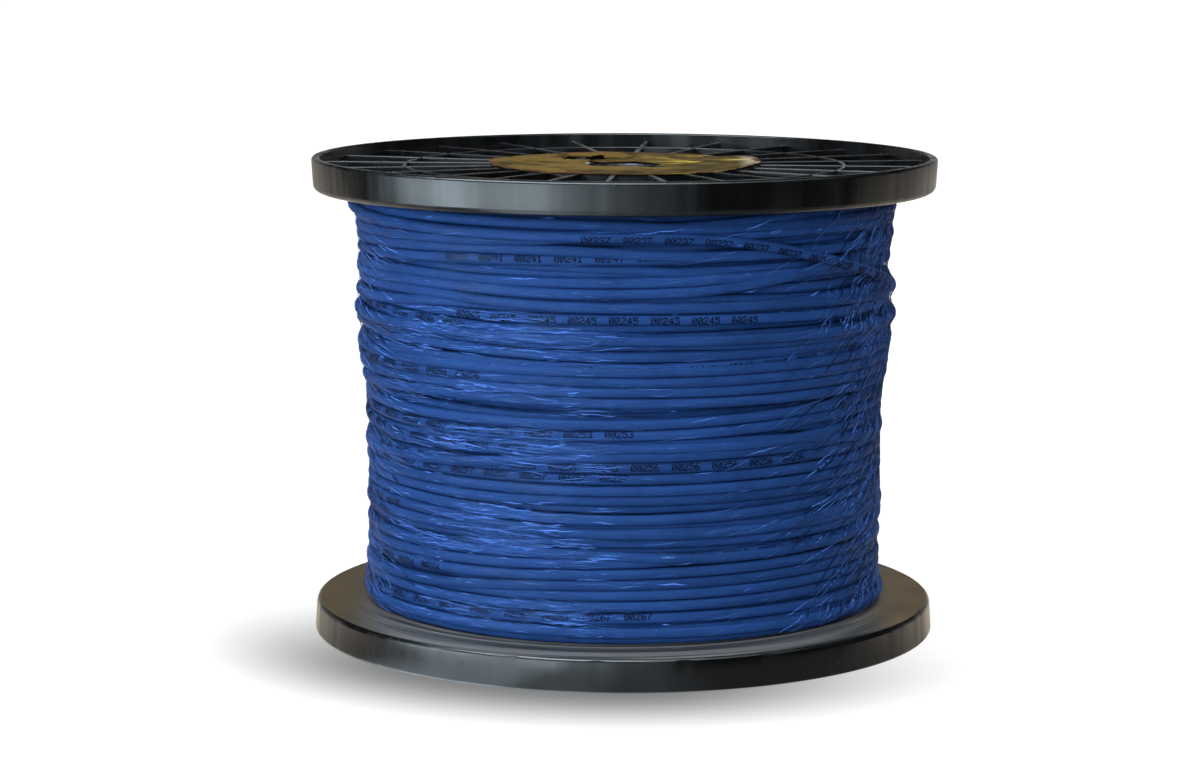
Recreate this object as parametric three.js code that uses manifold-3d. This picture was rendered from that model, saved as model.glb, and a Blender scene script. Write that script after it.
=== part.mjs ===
// A knock-down cable reel, full of cable. Millimetres, +Z up, spool axis on Z.
// It stands on its lower flange, so the origin is on the axis at the lower rim.
//
// Two copies of one ribbed moulding clamp a fibre barrel between them with four tie bolts.
// The cable's inner layers are a plain core and its outer layer is one unbroken tube.

import * as THREE from 'three';
import { mergeVertices } from 'three/addons/utils/BufferGeometryUtils.js';
import Module from 'manifold-3d';

const wasm = await Module();
wasm.setup();

// ---------------------------------------------------------------- driving dimensions

const flangeDiameter = 304.8;
const traverse = 200; // between the two flanges' inner faces
const fitGap = 0.3; // between pieces that seat on or in each other

// flange moulding; heights are above its inner face, towards the outside of the reel
const rimHeight = 16;
const rimWall = 4;
const rimDraft = 1; // how much the rim's foot is smaller in radius than its lip
const rimFootRound = 3;
const rimLipRound = 1.5;
const webThickness = 3;
const ribDrop = 4; // from the rim's lip down to the ribs
const ribCount = 24;
const ribTipWidth = 1.4;
const ribRootWidth = 2.4;
const ribStartAngle = 10.5;
const ringRibRadius = 107;
const hubRingRadius = 65;
const hubRingWall = 3;
const hubRingDrop = 4; // from the rim's lip down to the hub ring
const spigotDepth = 8; // how far the flange reaches into the barrel
const spigotWall = 3;
const arborBossWall = 4;
const arborBossDepth = 10; // inwards from the web

// barrel
const barrelDiameter = 130;
const barrelWall = 4;

// arbor bushes
const arborBore = 38.1;
const bushWall = 2;
const bushCollarWidth = 4;
const bushCollarThickness = 1.5;
const bushCollarDrop = 1.5; // from the hub ring's top down to the collars
const bushChamfer = 0.8; // on the tip and in the mouth of a bush

// tie bolts, washers and nuts
const boltCount = 4;
const boltCircleRadius = 50;
const boltStartAngle = 115;
const boltDiameter = 6;
const boltHeadDiameter = 12;
const boltHeadHeight = 3.6;
const boltHeadDrop = 1.2; // from the hub ring's top down to the heads
const boltRunOut = 1.2; // past the nut
const boltBossWall = 2.5;
const boltBossLip = 2; // round the washer
const boltBossDraft = 0.5; // how much the boss's foot is wider than its top
const washerDiameter = 12;
const washerThickness = 1.6;
const nutAcrossFlats = 10;
const nutThickness = 4.8;

// cable
const cableDiameter = 5;
const windingWaistDiameter = 250.8; // over the turns, in the lower half
const upperSwell = 3.8; // how much more radius the upper half has
const upperSwellSpan = [0.46, 0.64]; // shares of the traverse over which it grows
const topSwell = 2; // further growth at the upper flange
const topSwellSpan = [0.86, 0.98];
const footSwell = 2.6; // growth down to the lower flange
const footSwellSpan = [0, 0.1];
const windingTurns = 24;
const leastTurnGap = 0.6;
const coreGap = 0.5; // between the outer layer and those beneath
const turnDrifts = 9; // times that the turns bunch up and spread over the traverse
const layerStartAngle = 90; // where the outer layer's ends dive to the one beneath
const endBendRadius = 7.5;

// label
const labelDiameter = 133;
const labelHoleDiameter = 40;
const labelThickness = 0.4;
const tearDistance = 46; // from the axis
const tearLength = 26;
const tearWidth = 17;
const tearLobes = 5; // of its ragged edge
const tearRaggedness = 0.12; // share of the tear's size by which the lobes stand out
const tearSkew = 0.08; // share by which it is longer than an ellipse

// facets
const flangeSides = 48;
const roundSides = 40;
const bushSides = 24;
const fastenerSides = 12;
const stepsPerTurn = 20; // of the cable's outer layer
const tubeSides = 5;

// ---------------------------------------------------------------- derived sizes

const flangeRadius = flangeDiameter / 2;
const ribTop = rimHeight - ribDrop;
const hubRingTop = rimHeight - hubRingDrop;
const barrelRadius = barrelDiameter / 2;
const arborRadius = arborBore / 2;
const bushRadius = arborRadius + bushWall;
const bossBore = bushRadius + fitGap;
const bossRadius = bossBore + arborBossWall;
const collarTop = hubRingTop - bushCollarDrop;
const collarBase = collarTop - bushCollarThickness;
const bossTop = collarBase - fitGap;
const spigotRadius = barrelRadius - barrelWall - fitGap;
const upperInnerFace = rimHeight + traverse;
const boltSeatHeight = hubRingTop - boltHeadDrop - boltHeadHeight - washerThickness - 2 * fitGap;
const boltHoleRadius = boltDiameter / 2 + fitGap;
const washerPocketRadius = washerDiameter / 2 + 2 * fitGap;
const boltBossRadius = washerPocketRadius + boltBossWall;
const washerBase = boltSeatHeight + fitGap;
const fastenerBase = washerBase + washerThickness + fitGap;
const labelBase = hubRingTop + fitGap;

// ---------------------------------------------------------------- materials

const blackPlastic = { color: 0x131416, roughness: 0.3, metalness: 0 };
const fibreBoard = { color: 0x8b6f4e, roughness: 0.9, metalness: 0 };
const zincSteel = { color: 0xa6a8aa, roughness: 0.35, metalness: 1 };
const blueJacket = { color: 0x1f4696, roughness: 0.4, metalness: 0 };
const tanPaper = { color: 0xa58b52, roughness: 0.8, metalness: 0 };

// ---------------------------------------------------------------- shape helpers

const radians = THREE.MathUtils.degToRad;

/** The closed solid that a geometry bounds. */
function solidOf(geometry) {
  geometry.deleteAttribute('uv');
  geometry.deleteAttribute('normal');
  const merged = mergeVertices(geometry);
  return new wasm.Manifold(new wasm.Mesh({
    numProp: 3,
    vertProperties: merged.attributes.position.array,
    triVerts: new Uint32Array(merged.index.array),
  }));
}

/** The geometry of a solid's surface. */
function geometryOf(solid) {
  const surface = solid.getMesh();
  const geometry = new THREE.BufferGeometry();
  geometry.setAttribute('position', new THREE.BufferAttribute(surface.vertProperties, 3));
  geometry.setIndex(new THREE.BufferAttribute(surface.triVerts, 1));
  return geometry;
}

/** A named piece of one material. */
function piece(name, geometry, material) {
  const mesh = new THREE.Mesh(geometry, new THREE.MeshStandardMaterial(material));
  mesh.name = name;
  return mesh;
}

/** Points of an arc in a profile, with angles in degrees. */
function arc(centreX, centreY, radius, from, to, steps) {
  return Array.from({ length: steps + 1 }, (_, i) => {
    const angle = radians(from + (to - from) * i / steps);
    return [centreX + radius * Math.cos(angle), centreY + radius * Math.sin(angle)];
  });
}

/** A profile of [radius, height] points turned about Z, with a facet edge at startAngle. */
function revolve(profile, sides, startAngle = 0) {
  const points = profile.map(([radius, height]) => new THREE.Vector2(radius, height));
  if (THREE.ShapeUtils.area(points) < 0) points.reverse();
  const onAxis = points[0].x === 0 && points.at(-1).x === 0;
  if (!onAxis) points.push(points[0].clone());
  const geometry = new THREE.LatheGeometry(points, sides, radians(startAngle) + Math.PI / 2);
  return geometry.rotateX(Math.PI / 2);
}

/** A shape drawn in X and Y, raised from one height to another. */
function raise(shape, from, to, circleSides = fastenerSides) {
  const options = { depth: to - from, bevelEnabled: false, curveSegments: circleSides / 2 };
  return new THREE.ExtrudeGeometry(shape, options).translate(0, 0, from);
}

/** A wall of tapered section that runs outwards from the axis at one angle. */
function radialRib(innerRadius, outerRadius, top, angle) {
  const foot = webThickness / 2;
  const section = new THREE.Shape([
    new THREE.Vector2(-ribRootWidth / 2, foot),
    new THREE.Vector2(ribRootWidth / 2, foot),
    new THREE.Vector2(ribTipWidth / 2, top),
    new THREE.Vector2(-ribTipWidth / 2, top),
  ]);
  const wall = raise(section, innerRadius, outerRadius);
  return wall.rotateX(Math.PI / 2).rotateZ(Math.PI / 2).rotateZ(radians(angle));
}

/** The same count of angles, evenly round the axis. */
function evenAngles(count, start) {
  return Array.from({ length: count }, (_, i) => start + 360 * i / count);
}

const boltAngles = evenAngles(boltCount, boltStartAngle);

/** Moves a geometry from the axis to a bolt's place. */
function atBolt(geometry, angle) {
  const place = radians(angle);
  return geometry.translate(boltCircleRadius * Math.cos(place), boltCircleRadius * Math.sin(place), 0);
}

// ---------------------------------------------------------------- flange moulding

/** The turned form of the moulding, from the arbor boss out to the rim and back. */
function flangeProfile() {
  const footRadius = flangeRadius - rimDraft;
  const rimInside = flangeRadius - rimWall;
  const rimInsideFoot = rimInside - rimDraft / 2;
  const halfRoot = ribRootWidth / 2;
  const halfTip = ribTipWidth / 2;
  const lipChamfer = 0.5;
  return [
    [bossBore, -arborBossDepth],
    [bossRadius, -arborBossDepth],
    [bossRadius, 0],
    [spigotRadius - spigotWall, 0],
    [spigotRadius - spigotWall, -spigotDepth],
    [spigotRadius - lipChamfer, -spigotDepth],
    [spigotRadius, 0],
    ...arc(footRadius - rimFootRound, rimFootRound, rimFootRound, -90, 0, 2),
    ...arc(flangeRadius - rimLipRound, rimHeight - rimLipRound, rimLipRound, 0, 90, 2),
    [rimInside + lipChamfer, rimHeight],
    [rimInside, rimHeight - lipChamfer],
    [rimInsideFoot, webThickness],
    [ringRibRadius + halfRoot, webThickness],
    [ringRibRadius + halfTip, ribTop],
    [ringRibRadius - halfTip, ribTop],
    [ringRibRadius - halfRoot, webThickness],
    [hubRingRadius, webThickness],
    [hubRingRadius - lipChamfer, hubRingTop],
    [hubRingRadius - hubRingWall, hubRingTop],
    [hubRingRadius - hubRingWall - lipChamfer, webThickness],
    [bossRadius, webThickness],
    [bossRadius - lipChamfer, bossTop],
    [bossBore, bossTop],
  ];
}

/** A boss that carries one tie bolt, with a pocket in its top that centres the washer. */
function boltBoss(angle) {
  const top = boltSeatHeight + boltBossLip;
  const profile = [
    [0, webThickness / 2],
    [boltBossRadius + boltBossDraft, webThickness / 2],
    [boltBossRadius, top],
    [0, top],
  ];
  return solidOf(atBolt(revolve(profile, fastenerSides), angle));
}

/** What a tie bolt and its washer need cut out of the boss and the web. */
function boltBore(angle) {
  const profile = [
    [0, -spigotDepth],
    [boltHoleRadius, -spigotDepth],
    [boltHoleRadius, boltSeatHeight],
    [washerPocketRadius, boltSeatHeight],
    [washerPocketRadius, rimHeight],
    [0, rimHeight],
  ];
  return solidOf(atBolt(revolve(profile, fastenerSides), angle));
}

/** The ribs from the hub ring to the rim, and those that stiffen the hub between the bolts. */
function flangeRibs() {
  const hubWallMiddle = hubRingRadius - hubRingWall / 2;
  const rimWallMiddle = flangeRadius - rimWall / 2 - rimDraft;
  const bossWallMiddle = bossRadius - arborBossWall / 2;
  const outerRibs = evenAngles(ribCount, ribStartAngle)
    .map((angle) => radialRib(hubWallMiddle, rimWallMiddle, ribTop, angle));
  const boltRibs = evenAngles(boltCount, boltStartAngle)
    .map((angle) => radialRib(bossWallMiddle, hubWallMiddle, boltSeatHeight, angle));
  const stiffeners = evenAngles(boltCount, boltStartAngle + 180 / boltCount)
    .map((angle) => radialRib(bossWallMiddle, hubWallMiddle, bossTop, angle));
  return [...outerRibs, ...boltRibs, ...stiffeners];
}

function flangeGeometry() {
  let moulding = solidOf(revolve(flangeProfile(), flangeSides, ribStartAngle));
  for (const rib of flangeRibs()) moulding = moulding.add(solidOf(rib));
  for (const angle of boltAngles) moulding = moulding.add(boltBoss(angle)).subtract(boltBore(angle));
  return geometryOf(moulding);
}

// ---------------------------------------------------------------- barrel and bushes

function barrelGeometry() {
  const foot = rimHeight + fitGap;
  const head = upperInnerFace - fitGap;
  return revolve([
    [barrelRadius - barrelWall, foot],
    [barrelRadius, foot],
    [barrelRadius, head],
    [barrelRadius - barrelWall, head],
  ], roundSides);
}

/** A steel tube with a collar, pressed into the arbor boss from outside. */
function bushGeometry() {
  const collarRadius = bushRadius + bushCollarWidth;
  return revolve([
    [arborRadius, -arborBossDepth],
    [bushRadius - bushChamfer, -arborBossDepth],
    [bushRadius, bushChamfer - arborBossDepth],
    [bushRadius, collarBase],
    [collarRadius, collarBase],
    [collarRadius, collarTop],
    [arborRadius + bushChamfer, collarTop],
    [arborRadius, collarTop - bushChamfer],
  ], bushSides);
}

// ---------------------------------------------------------------- fasteners

/** A bolt from under its domed head in the upper flange to past the nut in the lower one. */
function tieBoltGeometry(angle) {
  const shankRadius = boltDiameter / 2;
  const headRadius = boltHeadDiameter / 2;
  const headBase = upperInnerFace + fastenerBase;
  const tip = rimHeight - fastenerBase - nutThickness - boltRunOut;
  const tipChamfer = boltDiameter / 8;
  const headSkirt = boltHeadHeight / 2;
  const crownHeight = boltHeadHeight - headSkirt;
  const crownSteps = 3;
  const crown = Array.from({ length: crownSteps }, (_, i) => {
    const turn = Math.PI / 2 * i / crownSteps;
    return [headRadius * Math.cos(turn), headBase + headSkirt + crownHeight * Math.sin(turn)];
  });
  return atBolt(revolve([
    [0, tip],
    [shankRadius - tipChamfer, tip],
    [shankRadius, tip + tipChamfer],
    [shankRadius, headBase],
    [headRadius, headBase],
    ...crown,
    [0, headBase + boltHeadHeight],
  ], fastenerSides), angle);
}

/** A round hole for the bolt, in a flat piece. */
function boltHole() {
  return new THREE.Path().absarc(0, 0, boltHoleRadius, 0, 2 * Math.PI, true);
}

function washerGeometry(base, angle) {
  const ring = new THREE.Shape().absarc(0, 0, washerDiameter / 2, 0, 2 * Math.PI);
  ring.holes.push(boltHole());
  return atBolt(raise(ring, base, base + washerThickness), angle);
}

function nutGeometry(angle) {
  const cornerRadius = nutAcrossFlats / 2 / Math.cos(Math.PI / 6);
  const corners = evenAngles(6, 0).map((turn) => new THREE.Vector2(
    cornerRadius * Math.cos(radians(turn)),
    cornerRadius * Math.sin(radians(turn)),
  ));
  const hexagon = new THREE.Shape(corners);
  hexagon.holes.push(boltHole());
  const top = rimHeight - fastenerBase;
  return atBolt(raise(hexagon, top - nutThickness, top), angle);
}

// ---------------------------------------------------------------- cable

/** Radius over the turns at a height: fuller in the upper half and next to the flanges. */
function windingRadius(height) {
  const { smoothstep } = THREE.MathUtils;
  const share = (height - rimHeight) / traverse;
  return windingWaistDiameter / 2
    + upperSwell * smoothstep(share, ...upperSwellSpan)
    + topSwell * smoothstep(share, ...topSwellSpan)
    + footSwell * (1 - smoothstep(share, ...footSwellSpan));
}

/** Radius of the cable's centre line at a height. */
function turnRadius(height) {
  return windingRadius(height) - cableDiameter / 2;
}

const firstTurnHeight = rimHeight + fitGap + cableDiameter / 2;
const lastTurnHeight = upperInnerFace - fitGap - cableDiameter / 2;
const turnPitch = (lastTurnHeight - firstTurnHeight) / windingTurns;
const turnDrift = (turnPitch - cableDiameter - leastTurnGap) / 2;

/** The centre line of the outer layer, whose turns bunch up at the flanges and here and there. */
function layerPath() {
  const steps = windingTurns * stepsPerTurn;
  return Array.from({ length: steps + 1 }, (_, i) => {
    const share = i / steps;
    const angle = radians(layerStartAngle) + 2 * Math.PI * windingTurns * share;
    const drift = turnDrift * Math.sin(2 * Math.PI * turnDrifts * share);
    const height = firstTurnHeight + turnPitch * windingTurns * share - drift;
    const radius = turnRadius(height);
    return new THREE.Vector3(radius * Math.cos(angle), radius * Math.sin(angle), height);
  });
}

/** The bend by which the cable leaves the layer and dives to the one beneath. */
function endBend(point, sense) {
  const inwards = new THREE.Vector3(-point.x, -point.y, 0).normalize();
  const along = new THREE.Vector3(inwards.y, -inwards.x, 0).multiplyScalar(sense);
  const bendSteps = 4;
  const bend = Array.from({ length: bendSteps }, (_, i) => {
    const turn = Math.PI / 2 * (i + 1) / bendSteps;
    return point.clone()
      .addScaledVector(along, endBendRadius * Math.sin(turn))
      .addScaledVector(inwards, endBendRadius * (1 - Math.cos(turn)));
  });
  return [...bend, bend.at(-1).clone().addScaledVector(inwards, cableDiameter)];
}

/** The whole centre line, from one dive to the other. */
function cablePath() {
  const layer = layerPath();
  return [...endBend(layer[0], -1).reverse(), ...layer, ...endBend(layer.at(-1), 1)];
}

/** The least clear distance between two stretches of the cable at least half a turn apart. */
function leastSelfGap(path) {
  const apart = stepsPerTurn / 2;
  let least = Infinity;
  for (let i = 0; i < path.length; i += 1) {
    for (let j = i + apart; j < path.length; j += 1) {
      least = Math.min(least, path[i].distanceTo(path[j]));
    }
  }
  return least - cableDiameter;
}

/** One closed tube round a centre line, its rings kept upright so that it has no twist. */
function tubeGeometry(path) {
  const up = new THREE.Vector3(0, 0, 1);
  const positions = [];
  path.forEach((point, i) => {
    const before = path[Math.max(i - 1, 0)];
    const after = path[Math.min(i + 1, path.length - 1)];
    const forward = after.clone().sub(before).normalize();
    const side = forward.clone().cross(up).normalize();
    const top = side.clone().cross(forward);
    for (let k = 0; k < tubeSides; k += 1) {
      const turn = 2 * Math.PI * k / tubeSides;
      const corner = point.clone()
        .addScaledVector(side, cableDiameter / 2 * Math.cos(turn))
        .addScaledVector(top, cableDiameter / 2 * Math.sin(turn));
      positions.push(...corner.toArray());
    }
  });
  const indices = [];
  for (let i = 0; i < path.length - 1; i += 1) {
    for (let k = 0; k < tubeSides; k += 1) {
      const a = i * tubeSides + k;
      const b = i * tubeSides + (k + 1) % tubeSides;
      indices.push(a, a + tubeSides, b, b, a + tubeSides, b + tubeSides);
    }
  }
  const lastRing = (path.length - 1) * tubeSides;
  for (let k = 1; k < tubeSides - 1; k += 1) {
    indices.push(0, k, k + 1);
    indices.push(lastRing, lastRing + k + 1, lastRing + k);
  }
  const geometry = new THREE.BufferGeometry();
  geometry.setAttribute('position', new THREE.Float32BufferAttribute(positions, 3));
  geometry.setIndex(indices);
  return geometry;
}

/** The notch in the inner layers that takes an end of the outer one. */
function endNotch(point, sense, foot, head) {
  const side = cableDiameter / 2 + 2 * fitGap;
  const floor = turnRadius(point.z) - endBendRadius - cableDiameter - fitGap;
  const notch = new THREE.BoxGeometry(
    windingRadius(point.z) - floor,
    endBendRadius + 2 * side,
    head - foot,
  );
  notch.translate(
    (windingRadius(point.z) + floor) / 2,
    sense * endBendRadius / 2,
    (foot + head) / 2,
  );
  return solidOf(notch.rotateZ(Math.atan2(point.y, point.x)));
}

/** The layers beneath the outer one, as one ring round the barrel. */
function innerWindingGeometry() {
  const foot = rimHeight + fitGap;
  const head = upperInnerFace - fitGap;
  const inside = barrelRadius + fitGap;
  const swellSteps = 4;
  const shares = [footSwellSpan, upperSwellSpan, topSwellSpan].flatMap(([from, to]) => (
    Array.from({ length: swellSteps + 1 }, (_, i) => from + (to - from) * i / swellSteps)));
  const outline = [...shares, 1].map((share) => {
    const height = THREE.MathUtils.clamp(rimHeight + traverse * share, foot, head);
    const chordRadius = turnRadius(height) * Math.cos(Math.PI / stepsPerTurn);
    return [chordRadius - cableDiameter / 2 - coreGap, height];
  });
  const ring = solidOf(revolve([[inside, foot], ...outline, [inside, head]], roundSides));
  const layer = layerPath();
  const clear = cableDiameter / 2 + 2 * fitGap;
  const lower = endNotch(layer[0], -1, foot - fitGap, layer[0].z + clear);
  const upper = endNotch(layer.at(-1), 1, layer.at(-1).z - clear, head + fitGap);
  return geometryOf(ring.subtract(lower).subtract(upper));
}

// ---------------------------------------------------------------- label

/** A round paper label with a centre hole, torn open over one tie bolt. */
function labelGeometry() {
  const sheet = new THREE.Shape().absarc(0, 0, labelDiameter / 2, 0, 2 * Math.PI);
  sheet.holes.push(new THREE.Path().absarc(0, 0, labelHoleDiameter / 2, 0, 2 * Math.PI, true));
  const tearAngle = radians(boltStartAngle);
  const tearPoints = 18;
  const tear = Array.from({ length: tearPoints }, (_, i) => {
    const turn = -2 * Math.PI * i / tearPoints;
    const ragged = 1 + tearRaggedness * Math.sin(tearLobes * turn) + tearSkew * Math.cos(2 * turn);
    const corner = new THREE.Vector2(tearWidth / 2 * Math.cos(turn), tearLength / 2 * Math.sin(turn));
    return corner.multiplyScalar(ragged)
      .add(new THREE.Vector2(tearDistance, 0))
      .rotateAround(new THREE.Vector2(), tearAngle);
  });
  sheet.holes.push(new THREE.Path(tear));
  return raise(sheet, labelBase, labelBase + labelThickness, roundSides);
}

// ---------------------------------------------------------------- assembly

const spool = new THREE.Group();

const upperEnd = new THREE.Group();
upperEnd.position.z = upperInnerFace;

// the lower end is the same moulding turned over, then turned until its bosses face the bolts
const lowerEnd = new THREE.Group();
lowerEnd.position.z = rimHeight;
lowerEnd.rotation.set(Math.PI, 0, radians(-2 * boltStartAngle));
spool.add(upperEnd, lowerEnd);

for (const [end, name] of [[upperEnd, 'upper'], [lowerEnd, 'lower']]) {
  end.add(piece(`${name}_flange`, flangeGeometry(), blackPlastic));
  end.add(piece(`${name}_bush`, bushGeometry(), zincSteel));
}
upperEnd.add(piece('upper_label', labelGeometry(), tanPaper));
spool.add(piece('barrel', barrelGeometry(), fibreBoard));

boltAngles.forEach((angle, i) => {
  const upperWasherBase = upperInnerFace + washerBase;
  const lowerWasherBase = rimHeight - washerBase - washerThickness;
  spool.add(
    piece(`tie_bolt_${i + 1}`, tieBoltGeometry(angle), zincSteel),
    piece(`upper_washer_${i + 1}`, washerGeometry(upperWasherBase, angle), zincSteel),
    piece(`lower_washer_${i + 1}`, washerGeometry(lowerWasherBase, angle), zincSteel),
    piece(`nut_${i + 1}`, nutGeometry(angle), zincSteel),
  );
});

const cable = cablePath();
const selfGap = leastSelfGap(cable).toFixed(2);
console.log(`outer winding: ${windingTurns} turns, least gap to itself ${selfGap} mm`);
spool.add(piece('inner_winding', innerWindingGeometry(), blueJacket));
spool.add(piece('outer_winding', tubeGeometry(cable), blueJacket));

export default spool;
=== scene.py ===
"""The looks of a knock-down cable reel, full of slim blue cable under clear stretch film.

Everything is in metres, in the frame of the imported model: the reel stands on Z = 0, its axis on Z.
"""

import math
from functools import lru_cache

import bpy
import numpy as np
from bpy.props import FloatProperty, FloatVectorProperty, IntProperty, PointerProperty
from bpy.types import Operator, Panel, PropertyGroup
from mathutils import Matrix, Vector
from mathutils.geometry import delaunay_2d_cdt


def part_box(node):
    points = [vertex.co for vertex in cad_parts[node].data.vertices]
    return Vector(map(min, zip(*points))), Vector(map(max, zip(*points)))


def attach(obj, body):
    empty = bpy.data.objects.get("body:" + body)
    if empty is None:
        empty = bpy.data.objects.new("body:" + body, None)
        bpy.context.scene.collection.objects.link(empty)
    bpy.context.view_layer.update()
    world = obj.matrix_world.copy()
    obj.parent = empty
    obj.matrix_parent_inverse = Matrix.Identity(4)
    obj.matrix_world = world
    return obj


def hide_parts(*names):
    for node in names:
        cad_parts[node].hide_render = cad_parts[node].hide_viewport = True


bl_info = {
    "name": "Cable reel",
    "version": (1, 0, 0),
    "blender": (4, 5, 0),
    "location": "3D View > Sidebar > Cable Reel",
    "description": "Dresses the frame of a full knock-down cable reel",
    "category": "Object",
}

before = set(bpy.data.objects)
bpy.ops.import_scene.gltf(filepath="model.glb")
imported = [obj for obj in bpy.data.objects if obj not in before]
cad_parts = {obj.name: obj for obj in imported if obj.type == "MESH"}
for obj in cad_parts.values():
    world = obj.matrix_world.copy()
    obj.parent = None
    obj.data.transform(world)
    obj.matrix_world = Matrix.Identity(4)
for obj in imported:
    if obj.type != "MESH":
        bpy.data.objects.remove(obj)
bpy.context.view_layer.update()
UPPER_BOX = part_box("upper_flange")
LOWER_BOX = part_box("lower_flange")
BARREL_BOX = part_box("barrel")
RIM_DEPTH = 0.016  # from the edge of a rim to the inner face of its flange
LOWER_FACE = LOWER_BOX[0].z + RIM_DEPTH
UPPER_FACE = UPPER_BOX[1].z - RIM_DEPTH


# ---------------------------------------------------------------- sizes and colours


def length(name, description, default):
    """A length that a user may change."""
    return FloatProperty(
        name=name, description=description, default=default, min=0.0, precision=5, unit="LENGTH"
    )


def angle(name, description, degrees):
    """An angle that a user may change."""
    return FloatProperty(
        name=name, description=description, default=math.radians(degrees), unit="ROTATION"
    )


def colour(name, description, red, green, blue):
    """A linear colour that a user may change."""
    return FloatVectorProperty(
        name=name,
        description=description,
        default=(red, green, blue),
        min=0.0,
        max=1.0,
        size=3,
        subtype="COLOR",
    )


def number(name, description, default, low=0.0):
    """A plain number that a user may change."""
    return FloatProperty(name=name, description=description, default=default, min=low)


class FlangeSettings(PropertyGroup):
    """One flange moulding; heights are above its inner face, outwards."""

    radius: length("Radius", "Outer radius at the lip", UPPER_BOX[1].x)
    rim_height: length("Rim height", "Inner face to lip", RIM_DEPTH)
    rim_wall: length("Rim wall", "Thickness of the rim at its lip", 0.004)
    rim_draft: length("Rim draft", "How much smaller the rim is at its foot", 0.001)
    foot_round: length("Foot round", "Round where the inner face meets the rim", 0.003)
    lip_round: length("Lip round", "Round on the outside of the lip", 0.0015)
    web: length("Web", "Thickness of the disc", 0.003)
    rib_count: IntProperty(name="Ribs", description="Long radial ribs", default=24, min=3)
    rib_start: angle("First rib", "Angle of the first rib", 10.5)
    rib_tip: length("Rib tip", "Width of a rib at its top", 0.0014)
    rib_root: length("Rib root", "Width of a rib at its foot", 0.0024)
    rib_top: length("Rib top", "Height of the ribs", 0.012)
    rib_round: length("Rib round", "Round on a rib's top edges", 0.0004)
    ring_rib_radius: length("Ring rib", "Radius of the ring rib", 0.107)
    hub_radius: length("Hub ring", "Outer radius of the hub ring", 0.065)
    hub_wall: length("Hub wall", "Thickness of the hub ring", 0.003)
    hub_top: length("Hub top", "Height of the hub ring", 0.012)
    tall_hub_rib: length("Tall hub rib", "Height of the ribs between the bolts", 0.0087)
    low_hub_rib: length("Low hub rib", "Height of the ribs that meet the bolts", 0.005)
    spigot_depth: length("Spigot", "How far it reaches into the barrel", 0.008)
    spigot_wall: length("Spigot wall", "Thickness of the spigot", 0.003)
    boss_bore: length("Boss bore", "Radius of the bore for the bush", 0.02135)
    boss_wall: length("Boss wall", "Wall round the bush", 0.004)
    boss_top: length("Boss top", "Height of the arbor boss", 0.0087)
    boss_depth: length("Boss depth", "How far the arbor boss reaches inwards", 0.010)
    seat_height: length("Bolt seat", "Height of the seat under a washer", 0.005)
    seat_lip: length("Seat lip", "Height of the lip round a washer", 0.002)
    pocket_radius: length("Washer pocket", "Radius of the pocket for a washer", 0.0066)
    pocket_wall: length("Pocket wall", "Wall round the washer pocket", 0.0025)
    colour: colour("Plastic", "Colour of the moulding", 0.0045, 0.0047, 0.0050)
    # Painted sheen: the light grey that the inner faces show in their scuff streaks.
    inner_sheen: colour("Scuffed plastic", "Colour of the rubbed inner faces", 0.23, 0.235, 0.225)
    # Painted highlight colour of the rib tops.
    worn: colour("Worn ribs", "Colour of the tops of the ribs", 0.030, 0.030, 0.033)
    # Painted reflection: the warm brown of the inner faces at the two sides.
    side_reflection: colour("Grime", "Colour of the rubbed inner faces at the two sides", 0.26, 0.175, 0.08)
    dust: colour("Dust", "Colour of the dust on it", 0.30, 0.29, 0.27)


class HardwareSettings(PropertyGroup):
    """Bushes, tie bolts, washers and nuts."""

    arbor_radius: length("Arbor bore", "Radius of the bore through the bushes", 0.01905)
    bush_wall: length("Bush wall", "Wall of a bush", 0.002)
    collar_width: length("Collar", "How far a bush's collar stands out", 0.004)
    collar_thickness: length("Collar thickness", "Thickness of the collar", 0.0015)
    collar_top: length("Collar top", "Height of the collar above the inner face", 0.0105)
    bolt_circle: length("Bolt circle", "Distance of a bolt from the axis", 0.050)
    bolt_count: IntProperty(name="Bolts", description="Tie bolts", default=4, min=1)
    bolt_start: angle("First bolt", "Angle of the first bolt", 115.0)
    bolt_radius: length("Bolt radius", "Radius of the shank", 0.003)
    thread_pitch: length("Thread pitch", "Pitch of the thread", 0.001)
    thread_length: length("Thread length", "Threaded length at the tip", 0.024)
    steel: colour("Zinc plated steel", "Colour of the plating", 0.42, 0.43, 0.44)
    bush: colour("Bush steel", "Colour of the worn bushes", 0.060, 0.055, 0.063)
    board: colour("Fibre board", "Colour of the barrel", 0.26, 0.16, 0.085)


class CableSettings(PropertyGroup):
    """The cable and how it lies."""

    radius: length("Cable radius", "Half of the cable's diameter", 0.0025)
    gap: length("End gap", "Outermost turn to the flange", 0.0002)
    waist: length("Waist", "Radius over the turns in the lower half", 0.1254)
    upper_swell: length("Upper swell", "How much further out the upper third stands", 0.0038)
    top_swell: length("Top swell", "How much it swells at the upper flange", 0.0020)
    foot_swell: length("Foot swell", "How much it swells at the lower flange", 0.0026)
    turns: number("Turns", "Turns from flange to flange", 39.6, 1.0)
    wander: length("Wander", "How far a turn wanders from its place", 0.0027)
    drift: length("Drift", "How far turns bunch up", 0.0015)
    unevenness: length("Unevenness", "How uneven the layers beneath are", 0.0007)
    proud: length("Standing proud", "How far a turn stands out before it is pressed in", 0.0005)
    pressing: number("Pressing", "Share of what stands prouder that is left", 0.20)
    squareness: number("Squareness", "How far turns are squashed towards a square", 0.24)
    slant: number("Slant", "How far the last turn drops in a whole turn where it slants", 0.198)
    seed: IntProperty(name="Seed", description="Picks one way of lying", default=7)
    jacket: colour("Jacket", "Colour of the jacket", 0.0195, 0.070, 0.245)
    ink: colour("Ink", "Colour of the metre marks", 0.0035, 0.005, 0.012)
    mark_height: length("Mark height", "Height of a digit", 0.0031)
    first_mark: IntProperty(name="First mark", description="Number of the first metre mark", default=268)


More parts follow.
